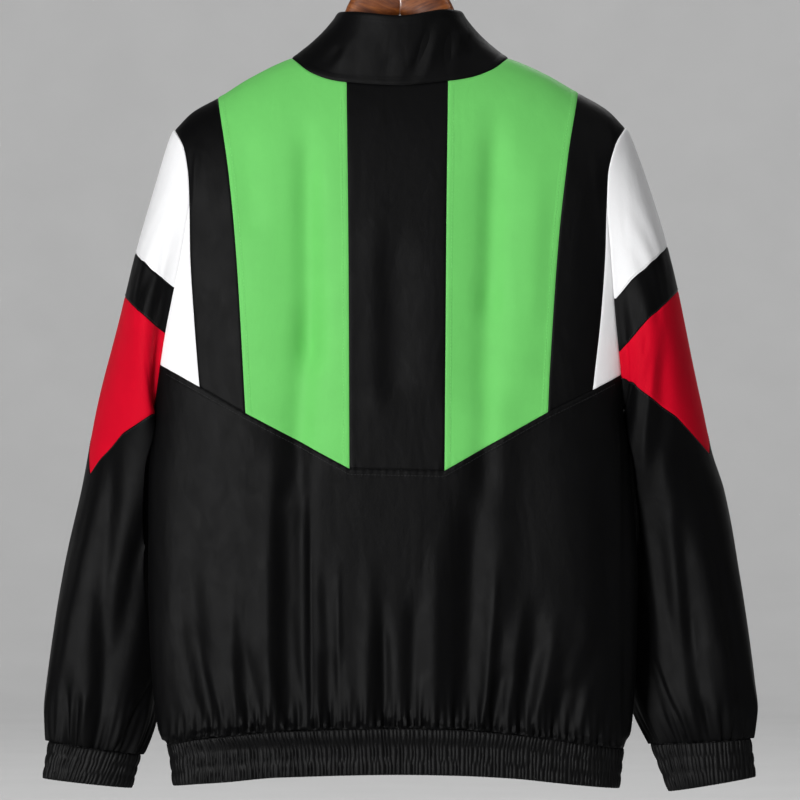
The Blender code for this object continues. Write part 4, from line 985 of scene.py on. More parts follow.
def seam_relief(points, closed, plain=(), allowance=()):
    """The cloth's height by its seams: a groove at each, and a pad where one is pressed to a side."""
    relief = np.zeros(points.shape[:2])
    for edge, away in edge_distances(points, closed).items():
        if edge in plain:
            continue
        relief = relief - SEAM_DIP * np.exp(-((away / SEAM_SOFTNESS) ** 2))
        if edge in allowance:
            relief = relief + ALLOWANCE_HEIGHT * ease((ALLOWANCE_WIDTH - away) / ALLOWANCE_SOFTNESS + 0.5)
            relief = relief - STITCH_DIP * np.exp(-(((away - STITCH_INSET) / STITCH_SOFTNESS) ** 2))
    return relief


def link(name, mesh, look):
    mesh.materials.append(look)
    made = bpy.data.objects.new(name, mesh)
    bpy.context.scene.collection.objects.link(made)
    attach(made, "garment")
    return made


def add_mesh(name, points, faces, look):
    """One smooth closed piece with its faces out; points are in millimetres."""
    points = np.asarray(points)
    faces = np.asarray(faces)
    corners = points[faces]
    inside = np.einsum("ij,ij->", corners[:, 0], np.cross(corners[:, 1], corners[:, 2]))
    inside += np.einsum("ij,ij->", corners[:, 0], np.cross(corners[:, 2], corners[:, -1]))
    if inside < 0:
        faces = faces[:, ::-1]
    mesh = bpy.data.meshes.new(name)
    mesh.from_pydata((points * MM).tolist(), [], faces.tolist())
    mesh.shade_smooth()
    mesh.set_sharp_from_angle(angle=math.radians(50))
    return link(name, mesh, look)


def grid_faces(rows, columns, closed):
    """A grid's point numbers, and its quads."""
    index = np.arange(rows * columns).reshape(rows, columns)
    if closed:
        index = np.concatenate([index, index[:, :1]], 1)
    quads = [index[:-1, :-1], index[:-1, 1:], index[1:, 1:], index[1:, :-1]]
    return index, np.stack(quads, -1).reshape(-1, 4)


def add_shell(name, outer, inner, look, closed=False):
    """A thin closed wall between two grids of points."""
    rows, columns = outer.shape[:2]
    index, front = grid_faces(rows, columns, closed)
    shift = rows * columns
    edges = [(index[0, 1:], index[0, :-1]), (index[-1, :-1], index[-1, 1:])]
    if not closed:
        edges += [(index[:-1, 0], index[1:, 0]), (index[1:, -1], index[:-1, -1])]
    rims = [np.stack([a, b, b + shift, a + shift], -1) for a, b in edges]
    faces = np.concatenate([front, front[:, ::-1] + shift, *rims])
    return add_mesh(name, np.concatenate([outer.reshape(-1, 3), inner.reshape(-1, 3)]), faces, look)


def add_cloth(node, points, wall, looks, slot, closed=False, raised=0.0, **edges):
    """The cloth that stands for a node, from its outer points and the directions its wall runs in."""
    outer = drawn_in(points, SEAM_HALF_GAP, closed)
    inner = outer - wall * SHELL_WALL
    relief = raised + seam_relief(outer, closed, **edges)
    stand_in(node, outer + wall * relief[..., None], inner, looks, slot, closed)


def stand_in(node, outer, inner, looks, slot, closed=False):
    """A thin wall in a node's place, in the look of its slot, with the node's own part hidden."""
    piece = add_shell(f"{node}_cloth", outer, inner, looks[slot], closed)
    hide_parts(node)


def body_panel(node, facing, edges, looks, slot, first=CREST_STEPS, step=STEP, down=STEP, **marks):
    """One panel of the body between its left, right, top and bottom edges."""
    left, right, top, bottom = edges
    middle = LOW_MIDDLE if node in LOW_PANELS else HIGH_MIDDLE
    width = float(right(middle) - left(middle))
    center = float(left(middle)) + width / 2
    height = float(top(center) - bottom(center))
    x, z = places(*edges, graded(width, step=step), graded(height, first, step=down))
    points, wall = body_points(x, z, facing)
    add_cloth(node, points, wall, looks, slot, **marks)


def left_first(side, outer, inner):
    """An outer and an inner seam of one side, in the order left, right."""
    return (outer, inner) if side == "left" else (inner, outer)


def add_upper_back(looks):
    span = (back_top, yoke)
    body_panel("back_center", -1, (*center_line.values(), *span), looks, "black_fabric")
    for side in SIGN:
        wedge, green = wedge_line[side], green_line[side]
        edges = (*left_first(side, green, center_line[side]), *span)
        body_panel(f"back_green_{side}", -1, edges, looks, "green_fabric", allowance=("left", "right"))
        body_panel(f"back_side_{side}", -1, (*left_first(side, wedge, green), *span), looks, "black_fabric")
        edges = (*left_first(side, armhole[side], wedge), wedge_top, yoke)
        body_panel(f"back_wedge_{side}", -1, edges, looks, "white_fabric", EDGE_STEPS)


def wedge_top(x):
    return np.full(np.shape(x), WEDGE_TOP_HEIGHT)


def side_line(side):
    """The armhole above the underarm and the side seam below it."""
    edge = left_edge if side == "left" else right_edge
    return lambda z: np.where(z > UNDERARM_HEIGHT, armhole[side](z), edge(z))


def add_lower_back(looks):
    edges = (side_line("left"), side_line("right"), yoke, back_band_top)
    body_panel(
        "back_lower", -1, edges, looks, "black_fabric", EDGE_STEPS, PINCHED_STEP, allowance=("top",)
    )


def zip_edge(side):
    """The straight edge of one front beside the zip."""
    return lambda z: np.full(np.shape(z), SIGN[side] * ZIP_HALF_SLOT)


def add_fronts(looks):
    for side in SIGN:
        edges = (*left_first(side, side_line(side), zip_edge(side)), front_top, front_band_top)
        body_panel(f"front_{side}", 1, edges, looks, "black_fabric", down=LONG_STEP)


COLLAR_TOP = table(
    ("turn", "height"),
    (0, -180),
    (35, -172),
    (68, -146),
    (90, -122),
    (108, -115.6),
    (135, -115.6),
    (180, -122.8),
    (225, -118),
    (252, -116.8),
    (270, -120),
    (292, -145),
    (325, -172),
    (360, -180),
)
collar_top_height = line_of(COLLAR_TOP)


def collar_points(x, facing, share):
    """Outer points of the stand collar above the place x of the neck seam."""
    base_z = np.where(facing < 0, back_neck(x), front_neck(x))
    base_y = facing * half_depth(x, base_z, facing)
    lean = np.arcsin(np.clip(np.abs(x) / NECK_HALF_WIDTH, 0, 1))
    turn = np.where(facing > 0, lean, math.pi - lean)
    turn = np.where(x < 0, 2 * math.pi - turn, turn)
    s = np.sin(turn)
    c = np.cos(turn)
    radius = (np.abs(s) ** COLLAR_POWER + np.abs(c) ** COLLAR_POWER) ** (-1 / COLLAR_POWER)
    top_x = COLLAR_HALF_WIDTH * radius * s
    straight = (1 - ease((np.abs(x) - PLACKET) / COLLAR_STRAIGHT)) * (facing > 0)
    top_x = top_x + (x - top_x) * straight
    top_y = COLLAR_FORWARD + COLLAR_HALF_DEPTH * radius * c
    top_z = collar_top_height(np.degrees(turn))
    bulge = COLLAR_BULGE * np.sin(math.pi * share)
    px = x + (top_x - x) * share - bulge * s
    py = base_y + (top_y - base_y) * share - bulge * c * (facing > 0)
    pz = base_z + (top_z - base_z) * share
    return np.stack(np.broadcast_arrays(px, py, pz), -1)


def grid_normals(points):
    """Unit normals of a grid of points from their neighbours."""
    return unit(np.cross(np.gradient(points, axis=0), np.gradient(points, axis=1)))


BAND_MIDDLE = (BACK_BAND["across"][0] + BACK_BAND["across"][-1]) / 2
BAND_HALF_WIDTH = (BACK_BAND["across"][-1] - BACK_BAND["across"][0]) / 2


def band_points(turn, share, facing):
    """Outer points and normals of the hem band at turns from 0 (left side) to 1 (right side)."""
    x = BAND_MIDDLE - BAND_HALF_WIDTH * np.cos(np.pi * turn)
    for _ in range(BAND_ROUNDS):
        top = np.where(facing < 0, back_band_top(x), front_band_top(x))
        bottom = np.where(facing < 0, back_band_bottom(x), front_band_bottom(x))
        z = top + (bottom - top) * share
        left = left_edge(z)
        right = right_edge(z)
        x = (left + right) / 2 - (right - left) / 2 * np.cos(np.pi * turn)
    y = facing * half_depth(x, z, facing)
    return np.stack(np.broadcast_arrays(x, y, z), -1), body_normal(x, z, facing)


def armhole_loop(side):
    """Angles round the armhole from its tip to the underarm, with their places across and heights."""
    steps = np.linspace(CREST_STEPS[-1], tip_height[side] - UNDERARM_HEIGHT, ARMHOLE_STATIONS)
    z = tip_height[side] - np.concatenate([CREST_STEPS[:-1], steps])
    x = armhole[side](z)
    length = np.concatenate([[0], np.cumsum(np.hypot(np.diff(x), np.diff(z)))])
    return math.pi * length / length[-1], x, z


class Sleeve:
    """One sleeve's surface: angle 0 is its outer line, positive angles are on the back."""

    def __init__(self, side, rows, end):
        self.side = side
        self.angles, self.x, self.z = armhole_loop(side)
        self.lines = [curve(rows["share"], rows[name]) for name in rows if name != "share"]
        self.end = end

    def ring(self, share):
        """Outer line, inner line and half depth at a share of the length; past 1 is the cuff."""
        taper = SLEEVE_TAPER_SHARE * ease((share - 1.0 + SLEEVE_TAPER) / SLEEVE_TAPER)
        down = np.clip(share - 1.0, 0, 1)
        ring = []
        for line, end in zip(self.lines, self.end):
            value = line(np.minimum(share, 1.0))
            value = value + (line(1.0) - value) * taper
            ring.append(value + (end - value) * down)
        return ring

    def points(self, angle, share, folded=True):
        """Points at angles round the sleeve and shares of its length, with or without its creases."""
        angle, share = np.broadcast_arrays(np.asarray(angle, float), np.asarray(share, float))
        angle = (angle + math.pi) % (2 * math.pi) - math.pi
        ox, oy, oz, ix, iy, iz, deep = self.ring(share)
        outer = np.stack([ox, oy, oz], -1)
        inner = np.stack([ix, iy, iz], -1)
        middle = (outer + inner) / 2
        way = outer - middle
        across = unit(way)
        back = unit(np.array([0.0, -1.0, 0.0]) + across * across[..., 1:2])
        c = np.cos(angle)[..., None]
        s = np.sin(angle)[..., None]
        ring = middle + way * c + back * deep[..., None] * s
        inward = self.fold(angle, share) if folded else np.zeros(angle.shape)
        ring = ring + unit(middle - ring) * inward[..., None]
        blend = ease(share / SLEEVE_BLEND)[..., None]
        root = self.root(angle, share)
        return self.pressed(root + (ring - root) * blend, share)

    def root(self, angle, share):
        """The armhole's own loop, which stands out from the body before the sleeve turns down."""
        turn = np.abs(angle)
        x = np.interp(turn, self.angles, self.x)
        z = np.interp(turn, self.angles, self.z)
        back_y = np.interp(turn, self.angles, -half_depth(self.x, self.z, -1))
        front_y = np.interp(turn, self.angles, half_depth(self.x, self.z, 1))
        y = np.where(angle > 0, back_y, front_y)
        outward = SLEEVE_ROOT * np.sin(math.pi / 2 * np.clip(share / SLEEVE_ROOT_SHARE, 0, 1))
        outward = outward * (0.3 + 0.7 * ease(turn / math.pi))
        return np.stack([x + SIGN[self.side] * outward, y, z], -1)

    def fold(self, angle, share):
        """How far folds, creases and gathers draw the sleeve in."""
        depth = np.zeros(angle.shape)
        for place, start, end, width, deepest in rows_of(SLEEVE_FOLDS):
            along = np.clip((share - start) / (end - start), 0, 1)
            fade = ease(along / 0.45) * ease((1 - along) / 0.3)
            depth += deepest * fade * np.exp(-(((np.degrees(angle) - place) / width) ** 2))
        for row in rows_of(SLEEVE_CREASES[self.side]):
            depth += self.crease(angle, share, *row)
        above = np.clip(1 - share, 0, 1) * SLEEVE_LENGTH
        uneven = SLEEVE_GATHER * (0.7 + 0.3 * np.sin(3 * angle + 1.0))
        uneven = uneven * np.exp(-above / SLEEVE_GATHER_REACH)
        gathers = uneven * np.cos(SLEEVE_GATHERS * angle + 1.2 * np.sin(2 * angle))
        pinches = np.cos(SLEEVE_PINCHES * angle + 1.7 * np.sin(3 * angle) + 0.8 * np.sin(7 * angle))
        pinches = SLEEVE_PINCH * pinches * np.exp(-((above / SLEEVE_PINCH_REACH) ** 1.4))
        return depth + (gathers + pinches) * (share <= 1.0) * ease(above / SEAM_FLAT)

    def crease(self, angle, share, from_angle, from_share, to_angle, to_share, width, deepest):
        """One crease between two places on the sleeve, tapered towards both ends."""
        start = np.array([from_angle * DEGREE_LENGTH, from_share * SLEEVE_LENGTH])
        end = np.array([to_angle * DEGREE_LENGTH, to_share * SLEEVE_LENGTH])
        place = np.stack([np.degrees(angle) * DEGREE_LENGTH, share * SLEEVE_LENGTH], -1)
        way = end - start
        along = ((place - start) @ way) / (way @ way)
        away = np.linalg.norm(place - start - along[..., None] * way, axis=-1)
        fade = ease((along + 0.18) / 0.5) * ease((1.18 - along) / 0.4)
        return deepest * fade * np.exp(-((away / width) ** 2)) * ease(share / 0.03) * (share <= 1.0)

    def pressed(self, points, share):
        """Keeps the sleeve just outside the body's side, as if it lay against it."""
        x, y, z = points[..., 0], points[..., 1], points[..., 2]
        margin = PRESS_MARGIN * ease((UNDERARM_HEIGHT - PRESS_START - z) / PRESS_FADE) - PRESS_SINK
        left, right = left_edge(z), right_edge(z)
        middle = (left + right) / 2
        wide = (right - left) / 2 + margin
        full = np.where(y < 0, back_depth(z), front_depth(z)) + margin
        measure = np.abs((x - middle) / wide) ** SECTION_POWER + np.abs(y / full) ** SECTION_POWER
        measure = measure ** (1 / SECTION_POWER)
        scale = np.where((z < UNDERARM_HEIGHT + 2) & (share > 0.001), np.maximum(1, 1 / measure), 1.0)
        return np.stack([middle + (x - middle) * scale, y * scale, z], -1)

    def wall(self, angle, share):
        """Outer points, and the directions the sleeve's wall runs in."""
        points, wall = self.points(angle, share), self.normals(angle, share)
        root = self.points(angle, np.zeros(np.shape(share)))
        facing = np.where(angle > 0, -1, 1)
        z = np.interp(np.abs(angle), self.angles, self.z)
        away = np.linalg.norm(points - root, axis=-1)
        return points, turned(wall, away, *mitre(self.side, z, facing)[::2])

    def normals(self, angle, share):
        """The surface's outward directions, from places a little further on."""
        angle, share = np.broadcast_arrays(np.asarray(angle, float), np.asarray(share, float))
        around = self.points(angle + ANGLE_STEP, share) - self.points(angle - ANGLE_STEP, share)
        above = np.maximum(share - SHARE_STEP, 0)
        along = self.points(angle, share + SHARE_STEP) - self.points(angle, above)
        normal = unit(np.cross(along, around))
        return normal if self.side == "left" else -normal


# The sleeve's colour seams as seen from the back, from the outer line to the armhole.
SLEEVE_SEAMS = {
    "left": (
        table(("across", "height"), (-272, -361), (-230, -398.6)),
        table(("across", "height"), (-283, -406.5), (-238.7, -445.5)),
        table(
            ("across", "height"),
            (-320, -591),
            (-308, -574),
            (-282.5, -546.5),
            (-252, -527.1),
            (-225, -523.3),
        ),
    ),
    "right": (
        table(("across", "height"), (216, -414), (234, -391.5), (275, -354.5)),
        table(("across", "height"), (220, -468), (250, -432.3), (286, -400.5)),
        table(
            ("across", "height"),
            (200, -487.5),
            (226, -489.8),
            (256, -510.8),
            (281.5, -529.2),
            (318, -568),
        ),
    ),
}


class Stripes:
    """The colour seams of one sleeve: each leaves the armhole, crosses the outer line and comes back."""

    def __init__(self, sleeve, seams):
        self.sleeve = sleeve
        self.fine = np.linspace(0, math.pi, SEAM_ANGLES)
        self.shares = [self.crossing(polyline(*seam.values())) for seam in seams]
        self.reach = [self.fine[shares > LEAST_STRIP][-1] for shares in self.shares]

    def crossing(self, line):
        """The share at which each angle's line down the back of the sleeve meets a seam."""
        low = np.zeros(self.fine.shape)
        high = np.full(self.fine.shape, LAST_SEAM_SHARE)
        for _ in range(SEAM_ROUNDS):
            middle = (low + high) / 2
            place = self.sleeve.points(self.fine, middle, folded=False)
            above = place[:, 2] > line(place[:, 0])
            low = np.where(above, middle, low)
            high = np.where(above, high, middle)
        return np.where(low < 1e-3, 0.0, low)

    def seam(self, k, angle):
        return np.interp(np.abs(angle), self.fine, self.shares[k])

    def above(self, k, angle):
        """The seam above a piece, which runs on along the armhole past the seam's end."""
        return np.where(np.abs(angle) > self.reach[k] + 0.5 * SEAM_END, 0.0, self.seam(k, angle))


SLEEVES = {
    "left": Sleeve("left", SLEEVE_LEFT, CUFF_LEFT),
    "right": Sleeve("right", SLEEVE_RIGHT, CUFF_RIGHT),
}
STRIPES = {side: Stripes(sleeve, SLEEVE_SEAMS[side]) for side, sleeve in SLEEVES.items()}


def mitre(side, z, facing):
    """At the armhole: the direction in which both walls meet, the body's normal and the sleeve's."""
    sleeve = SLEEVES[side]
    height = sleeve.z[::-1]
    z = np.clip(z, height[0], height[-1])
    angle = -facing * np.interp(z, height, sleeve.angles[::-1])
    of_sleeve = sleeve.normals(angle, np.zeros(np.shape(z)))
    of_body = body_normal(armhole[side](z), z, facing)
    return meeting(of_sleeve, of_body), of_body, of_sleeve


def meeting(one, other):
    """The direction that is as far from two walls' outer faces as each normal is from its own."""
    cosine = np.sum(one * other, -1, keepdims=True)
    return (one + other) / np.maximum(1 + cosine, 0.5)


def zip_grid(xs):
    """Outer points and wall directions of the closed front under the zip, top to bottom, for each x."""
    columns = []
    ways = []
    at_collar, at_front, at_band = ZIP_STATIONS
    for x in xs:
        share = np.linspace(1, 0, at_collar)
        place = np.full(share.shape, abs(x))
        collar = collar_points(place, np.ones(share.shape), share) * (np.sign(x) or 1, 1, 1)
        slope = np.gradient(collar, axis=0)
        collar_way = unit(np.stack([np.zeros(share.size), -slope[:, 2], slope[:, 1]], -1))
        z = front_top(x) + (front_band_top(x) - front_top(x)) * np.linspace(0, 1, at_front)
        body, body_way = body_points(np.full(z.shape, float(x)), z, 1)
        z = front_band_top(x) + (front_band_bottom(x) - front_band_top(x)) * np.linspace(0, 1, at_band)
        place = np.full(z.shape, float(x))
        hem = np.stack([place, half_depth(place, z, 1), z], -1)
        hem_way = body_normal(place, z, 1)
        at_neck = meeting(collar_way[-1], body_way[0])
        at_hem = meeting(body_way[-1], hem_way[0])
        columns.append(np.concatenate([collar, body[1:], hem[1:]]))
        ways.append(np.concatenate([collar_way[:-1], [at_neck], body_way[1:-1], [at_hem], hem_way[1:]]))
    return np.stack(columns, 1), np.stack(ways, 1)


def sleeve_columns(sleeve, reach, ended=()):
    """Angles round a sleeve piece, at the armhole's own stations and where the seam above it ends."""
    ended = [a + shift for a in ended for shift in (0.0, SEAM_END)]
    half = np.array(sorted([a for a in sleeve.angles if a < reach - 0.01] + ended + [reach]))
    return np.concatenate([-half[:0:-1], half])


def add_sleeve(side, looks):
    """The sleeve's cut pieces, from the armhole down to the cuff."""
    sleeve = SLEEVES[side]
    stripes = STRIPES[side]
    reach = stripes.reach

    def piece(name, angle, upper, lower, slot, closed=False, end=EDGE_STEPS, step=STEP):
        long = float(np.max(lower - upper)) * SLEEVE_LENGTH
        share = upper + (lower - upper) * graded(long, end=end, step=step)[:, None]
        points, wall = sleeve.wall(np.broadcast_to(angle, share.shape), share)
        add_cloth(f"{name}_{side}", points, wall, looks, slot, closed)

    angle = sleeve_columns(sleeve, reach[0])
    piece("sleeve_top", angle, 0 * angle, stripes.seam(0, angle), "white_fabric")
    strips = ((1, "sleeve_stripe", "black_fabric", STEP), (2, "sleeve_panel", "red_fabric", PANEL_STEP))
    for k, name, slot, step in strips:
        angle = sleeve_columns(sleeve, reach[k], reach[k - 1 : k])
        piece(name, angle, stripes.above(k - 1, angle), stripes.seam(k, angle), slot, step=step)
    angle = sleeve_columns(sleeve, math.pi, reach[2:])
    between = (angle[1:] + angle[:-1]) / 2
    angle = np.sort(np.concatenate([angle, between[np.diff(angle) > 2 * SEAM_END]]))[:-1]
    top = stripes.above(2, angle)
    piece("sleeve_lower", angle, top, np.ones(top.shape), "black_fabric", True, GATHER_STEPS, LONG_STEP)


def add_cuff(side, looks):
    """The elastic cuff, ribbed all the way round."""
    sleeve = SLEEVES[side]
    columns = CUFF_RIBS * RIB_COLUMNS
    angle = even_steps(lambda at: sleeve.points(at, 1.5, folded=False), -math.pi, math.pi, columns)[:-1]
    share = 1 + graded(CUFF_DEPTH, CUFF_EDGE, CUFF_EDGE, CUFF_STEP)[:, None]
    grid, share = np.broadcast_arrays(angle, share)
    turn = np.arange(columns) / columns - SIGN[side] * CUFF_LEAN * (share - 1) * np.sin(grid)
    ribs = rib_height(turn * CUFF_RIBS, share - 1)
    points = sleeve.points(grid, share, folded=False)
    wall = sleeve.normals(grid, np.clip(share, *CUFF_WALL_SHARES))
    add_cloth(f"cuff_{side}", points, wall, looks, "black_rib", True, raised=ribs, plain=("bottom",))


def even_steps(points_at, first, last, count):
    """Values from first to last whose points are equally far apart."""
    fine = np.linspace(first, last, FINE_STATIONS)
    length = path_length(points_at(fine))
    return np.interp(np.linspace(0, length[-1], count + 1), length, fine)


def rib_height(rib, share):
    """A band's relief: fine ribs, broken a little at each sewn line, and a puff between the lines."""
    channel = np.clip(np.floor(share * CHANNELS), 0, CHANNELS - 1)
    within = share * CHANNELS - channel
    shifted = rib + 0.22 * np.sin(2.4 * channel + 0.37 * rib) + 0.16 * np.sin(1.9 * rib + 5 * channel)
    uneven = 0.78 + 0.22 * np.sin(0.61 * rib + 1.3 * channel) * np.cos(1.13 * rib)
    fine = RIB_HEIGHT * uneven * (np.abs(np.sin(np.pi * shifted)) ** 0.8 - 0.6)
    puff = np.sin(np.pi * np.clip(within, 0, 1)) ** 0.4
    return CHANNEL_PUFF * (puff - 0.7) + fine * (0.5 + 0.5 * puff)


def add_collar(looks):
    """The stand collar, from the zip round the back of the neck to the zip."""
    quarter = math.pi / 2
    front = np.linspace(math.asin(ZIP_HALF_SLOT / NECK_HALF_WIDTH), quarter, COLLAR_FRONT_COLUMNS + 1)
    back = np.linspace(quarter, -quarter, COLLAR_BACK_COLUMNS + 1)[1:]
    xs = NECK_HALF_WIDTH * np.sin(np.concatenate([front, back, -front[::-1][1:]]))
    facing = np.repeat([1.0, -1.0, 1.0], [len(front) - 1, len(back) + 1, len(front) - 1])
    share = 1 - graded(COLLAR_DEPTH, step=COLLAR_STEP)[:, None]
    points = collar_points(xs[None, :], facing[None, :], share)
    creases = collar_creases(xs[None, :], facing[None, :], share)
    normals = grid_normals(points)
    outward = points[..., :2] - np.array([0.0, COLLAR_CENTER_DEPTH])
    if np.sum(normals[..., :2] * outward) < 0:
        normals = -normals
    edges = ("top", "bottom")
    add_cloth("collar", points, normals, looks, "black_fabric", raised=creases, allowance=edges)


def collar_creases(x, facing, share):
    """Shallow waves of the stand collar, longest across its back."""
    back = (facing < 0) * ease((104 - np.abs(x)) / 12) * np.sin(np.pi * share) ** 0.5
    middle = 0.4 * np.sin(x / 17 + 2.6 * share)
    for from_x, from_share, to_x, to_share, width, height in rows_of(COLLAR_CREASES):
        along = (share - from_share) / (to_share - from_share)
        away = (x - from_x - (to_x - from_x) * along) / width
        crease = height * ease((along + 0.3) / 0.6) * ease((1.3 - along) / 0.6)
        middle = middle + crease * np.exp(-(away**2))
    front = (facing > 0) * 0.8 * np.sin(share * 7 + x / 19) * np.sin(np.pi * share)
    return back * middle + front * ease((np.abs(x) - 20) / 20)


def add_hem_band(looks):
    """One ribbed strip from the zip round the left side, the back and the right side to the zip."""
    left_end, right_end = (
        math.acos((BAND_MIDDLE - middle) / BAND_HALF_WIDTH) / math.pi
        for middle in (-ZIP_HALF_SLOT, ZIP_HALF_SLOT)
    )
    quarter = round(BAND_GIRTH_SHARE * BAND_HALF_WIDTH / 2 / BAND_RIB_PITCH) * RIB_COLUMNS
    half = 2 * quarter

    def at_middle(side):
        return lambda turn: band_points(turn, np.full(turn.shape, 0.5), np.full(turn.shape, side))[0]

    turn = np.concatenate([
        even_steps(at_middle(1), left_end, 0, quarter),
        even_steps(at_middle(-1), 0, 1, half)[1:],
        even_steps(at_middle(1), 1, right_end, quarter)[1:],
    ])
    facing = np.repeat([1, -1, 1], [quarter + 1, half, quarter])
    share = graded(BAND_DEPTH, CUFF_EDGE, CUFF_EDGE, BAND_STEP)[:, None]
    column = np.arange(turn.size)
    rib = column / RIB_COLUMNS + BAND_LEAN * share * np.cos(np.pi * turn) * (facing < 0)
    ribs = rib_height(rib, np.broadcast_to(share, (share.size, turn.size)))
    ribs = ribs * ease(np.minimum(column, column[::-1]) / (PLAIN_END_RIBS * RIB_COLUMNS))
    points, normals = band_points(turn, share, facing)
    add_cloth("hem_band", points, normals, looks, "black_rib", raised=ribs, plain=("bottom",))


def add_tapes(looks):
    """The woven tape of each half of the zip, behind the fronts' edges."""
    for side, sign in SIGN.items():
        points, normals = zip_grid(sign * np.linspace(TAPE_INNER, TAPE_OUTER, TAPE_COLUMNS))
        outer = points - normals * TAPE_DEPTH
        stand_in(f"zip_tape_{side}", outer, outer - normals * TAPE_WALL, looks, "zip_tape")


def add_teeth(looks):
    """Teeth that lock from both sides, and the cord behind them, from the slider down to the hem."""
    points, normals = zip_grid([0.0])
    path, out = points[:, 0], normals[:, 0]
    length = path_length(path)
    count = int((length[-1] - CHAIN_TOP_DROP - 1) / TOOTH_PITCH)
    tooth, tooth_faces = tooth_shape()
    verts = []
    faces = []
    for k in range(2 * count):
        at = CHAIN_TOP_DROP + TOOTH_START + k * TOOTH_PITCH / 2
        middle = on_path(at, length, path)
        up = unit(middle - on_path(at + 1.0, length, path))
        way = on_path(at, length, out)
        way = unit(way - up * (way @ up))
        across = np.array([1.0, 0.0, 0.0]) * (1 if k % 2 else -1)
        placed = middle + tooth[:, :1] * across + tooth[:, 1:2] * way + tooth[:, 2:] * up
        faces += [[i + len(verts) for i in face] for face in tooth_faces]
        verts += placed.tolist()
    cord, ways = zip_grid(np.linspace(-CORD_HALF_WIDTH, CORD_HALF_WIDTH, CORD_COLUMNS))
    crown = np.cos(np.linspace(-CORD_TURN, CORD_TURN, CORD_COLUMNS))[None, :, None]
    cord = cord + ways * (crown * CORD_CROWN - CORD_SINK)
    keep = length > CHAIN_TOP_DROP
    cord, ways = cord[keep], ways[keep]
    add_shell("zip_chain_cord", cord, cord - ways * CORD_WALL, looks["zip_tape"])
    teeth = add_mesh("zip_chain_teeth", verts, faces, looks["zip_metal"])
    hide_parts("zip_chain")


def tooth_shape():
    """One moulded tooth: a foot on its tape that narrows to a rounded head across the middle."""
    verts = []
    for x, half, low, high in TOOTH_RINGS:
        verts += [(x, low, -half), (x, high * 0.6, -half), (x, high, -half * 0.55)]
        verts += [(x, high, half * 0.55), (x, high * 0.6, half), (x, low, half)]
    last = 6 * (len(TOOTH_RINGS) - 1)
    faces = [(0, 1, 4, 5), (1, 2, 3, 4)]
    faces += [(last + 5, last + 4, last + 1, last), (last + 4, last + 3, last + 2, last + 1)]
    return np.array(verts), faces + tube_faces(len(TOOTH_RINGS), 6)


def tube_faces(rings, sides, first=0):
    """The quads between neighbouring rings of points, from the number of the first point on."""
    faces = []
    for i in range(rings - 1):
        for j in range(sides):
            a = first + sides * i + j
            b = first + sides * i + (j + 1) % sides
            faces.append((b, a, a + sides, b + sides))
    return faces


def add_stitches(name, runs, look):
    """Short thread capsules along lines of (points, normals)."""
    verts = []
    faces = []
    ends = np.array([0.0, 0.12, 0.88, 1.0])
    radii = np.array([0.35, 1.0, 1.0, 0.35]) * THREAD_RADIUS
    sunk = np.array([0.28, 0.0, 0.0, 0.28])
    turn = np.linspace(0, 2 * math.pi, THREAD_SIDES + 1)[:-1]
    cap = np.arange(THREAD_SIDES)
    for points, normals in runs:
        length = path_length(points)
        for start in np.arange(1.0, length[-1] - STITCH_LENGTH, STITCH_LENGTH + STITCH_GAP):
            at = start + ends * STITCH_LENGTH
            place = on_path(at, length, points)
            normal = on_path(at, length, normals)
            way = unit(place[-1] - place[0])
            over = unit(normal - way * (normal @ way)[:, None])
            across = np.cross(way, over)
            center = place + over * (THREAD_RADIUS * 0.7 - sunk)[:, None]
            ring = np.cos(turn)[None, :, None] * across[:, None]
            ring = ring + np.sin(turn)[None, :, None] * over[:, None]
            ring = center[:, None] + radii[:, None, None] * ring
            base = len(verts)
            verts += ring.reshape(-1, 3).tolist()
            last = base + THREAD_SIDES * (len(ends) - 1)
            faces += [(base + cap).tolist(), (last + cap[::-1]).tolist()]
            faces += tube_faces(len(ends), THREAD_SIDES, base)
    mesh = bpy.data.meshes.new(name)
    mesh.from_pydata((np.array(verts) * MM).tolist(), [], faces)
    mesh.shade_smooth()
    return link(name, mesh, look)


def back_run(x, z):
    """A row of stitches on the back, on the pad beside its seam."""
    points, wall = body_points(x, z, -1)
    return points + wall * (ALLOWANCE_HEIGHT - STITCH_DIP), wall


def sleeve_run(side, k, shift):
    """A row of stitches above or below a sleeve's colour seam."""
    reach = STRIPES[side].reach[k] - SLEEVE_SEWING_END
    angle = np.linspace(-reach, reach, SLEEVE_SEWING_STATIONS)
    share = STRIPES[side].seam(k, angle) + shift / SLEEVE_LENGTH
    return SLEEVES[side].wall(angle, np.maximum(share, 0.002))


def add_sewing(looks):
    """Rows of stitches beside the seams, each row in its own thread."""
    green = []
    for side, sign in SIGN.items():
        top = float(shoulder(sign * GREEN_SEWING_PLACE)) - GREEN_SEWING_DROP
        z = np.linspace(top, GREEN_SEWING_END, SEAM_STATIONS)
        green.append(back_run(green_line[side](z) - sign * STITCH_INSET, z))
        z = np.linspace(*CENTER_SEWING, SEAM_STATIONS)
        green.append(back_run(center_line[side](z) + sign * STITCH_INSET, z))
    add_stitches("sewing_green", green, looks["green_thread"])
    x = np.linspace(*YOKE_SEWING, YOKE_STATIONS)
    black = [back_run(x, yoke(x) - STITCH_INSET)]
    for side in SIGN:
        black += [sleeve_run(side, 1, SEWING_ABOVE), sleeve_run(side, 2, SEWING_BELOW)]
    z = np.linspace(*FRONT_SEWING, FRONT_STATIONS)
    for sign in SIGN.values():
        black.append(body_points(np.full(z.shape, sign * FRONT_SEWING_PLACE), z, 1))
    add_stitches("sewing_black", black, looks["black_thread"])
    white = [sleeve_run(side, 0, SEWING_ABOVE) for side in SIGN]
    add_stitches("sewing_white", white, looks["white_thread"])


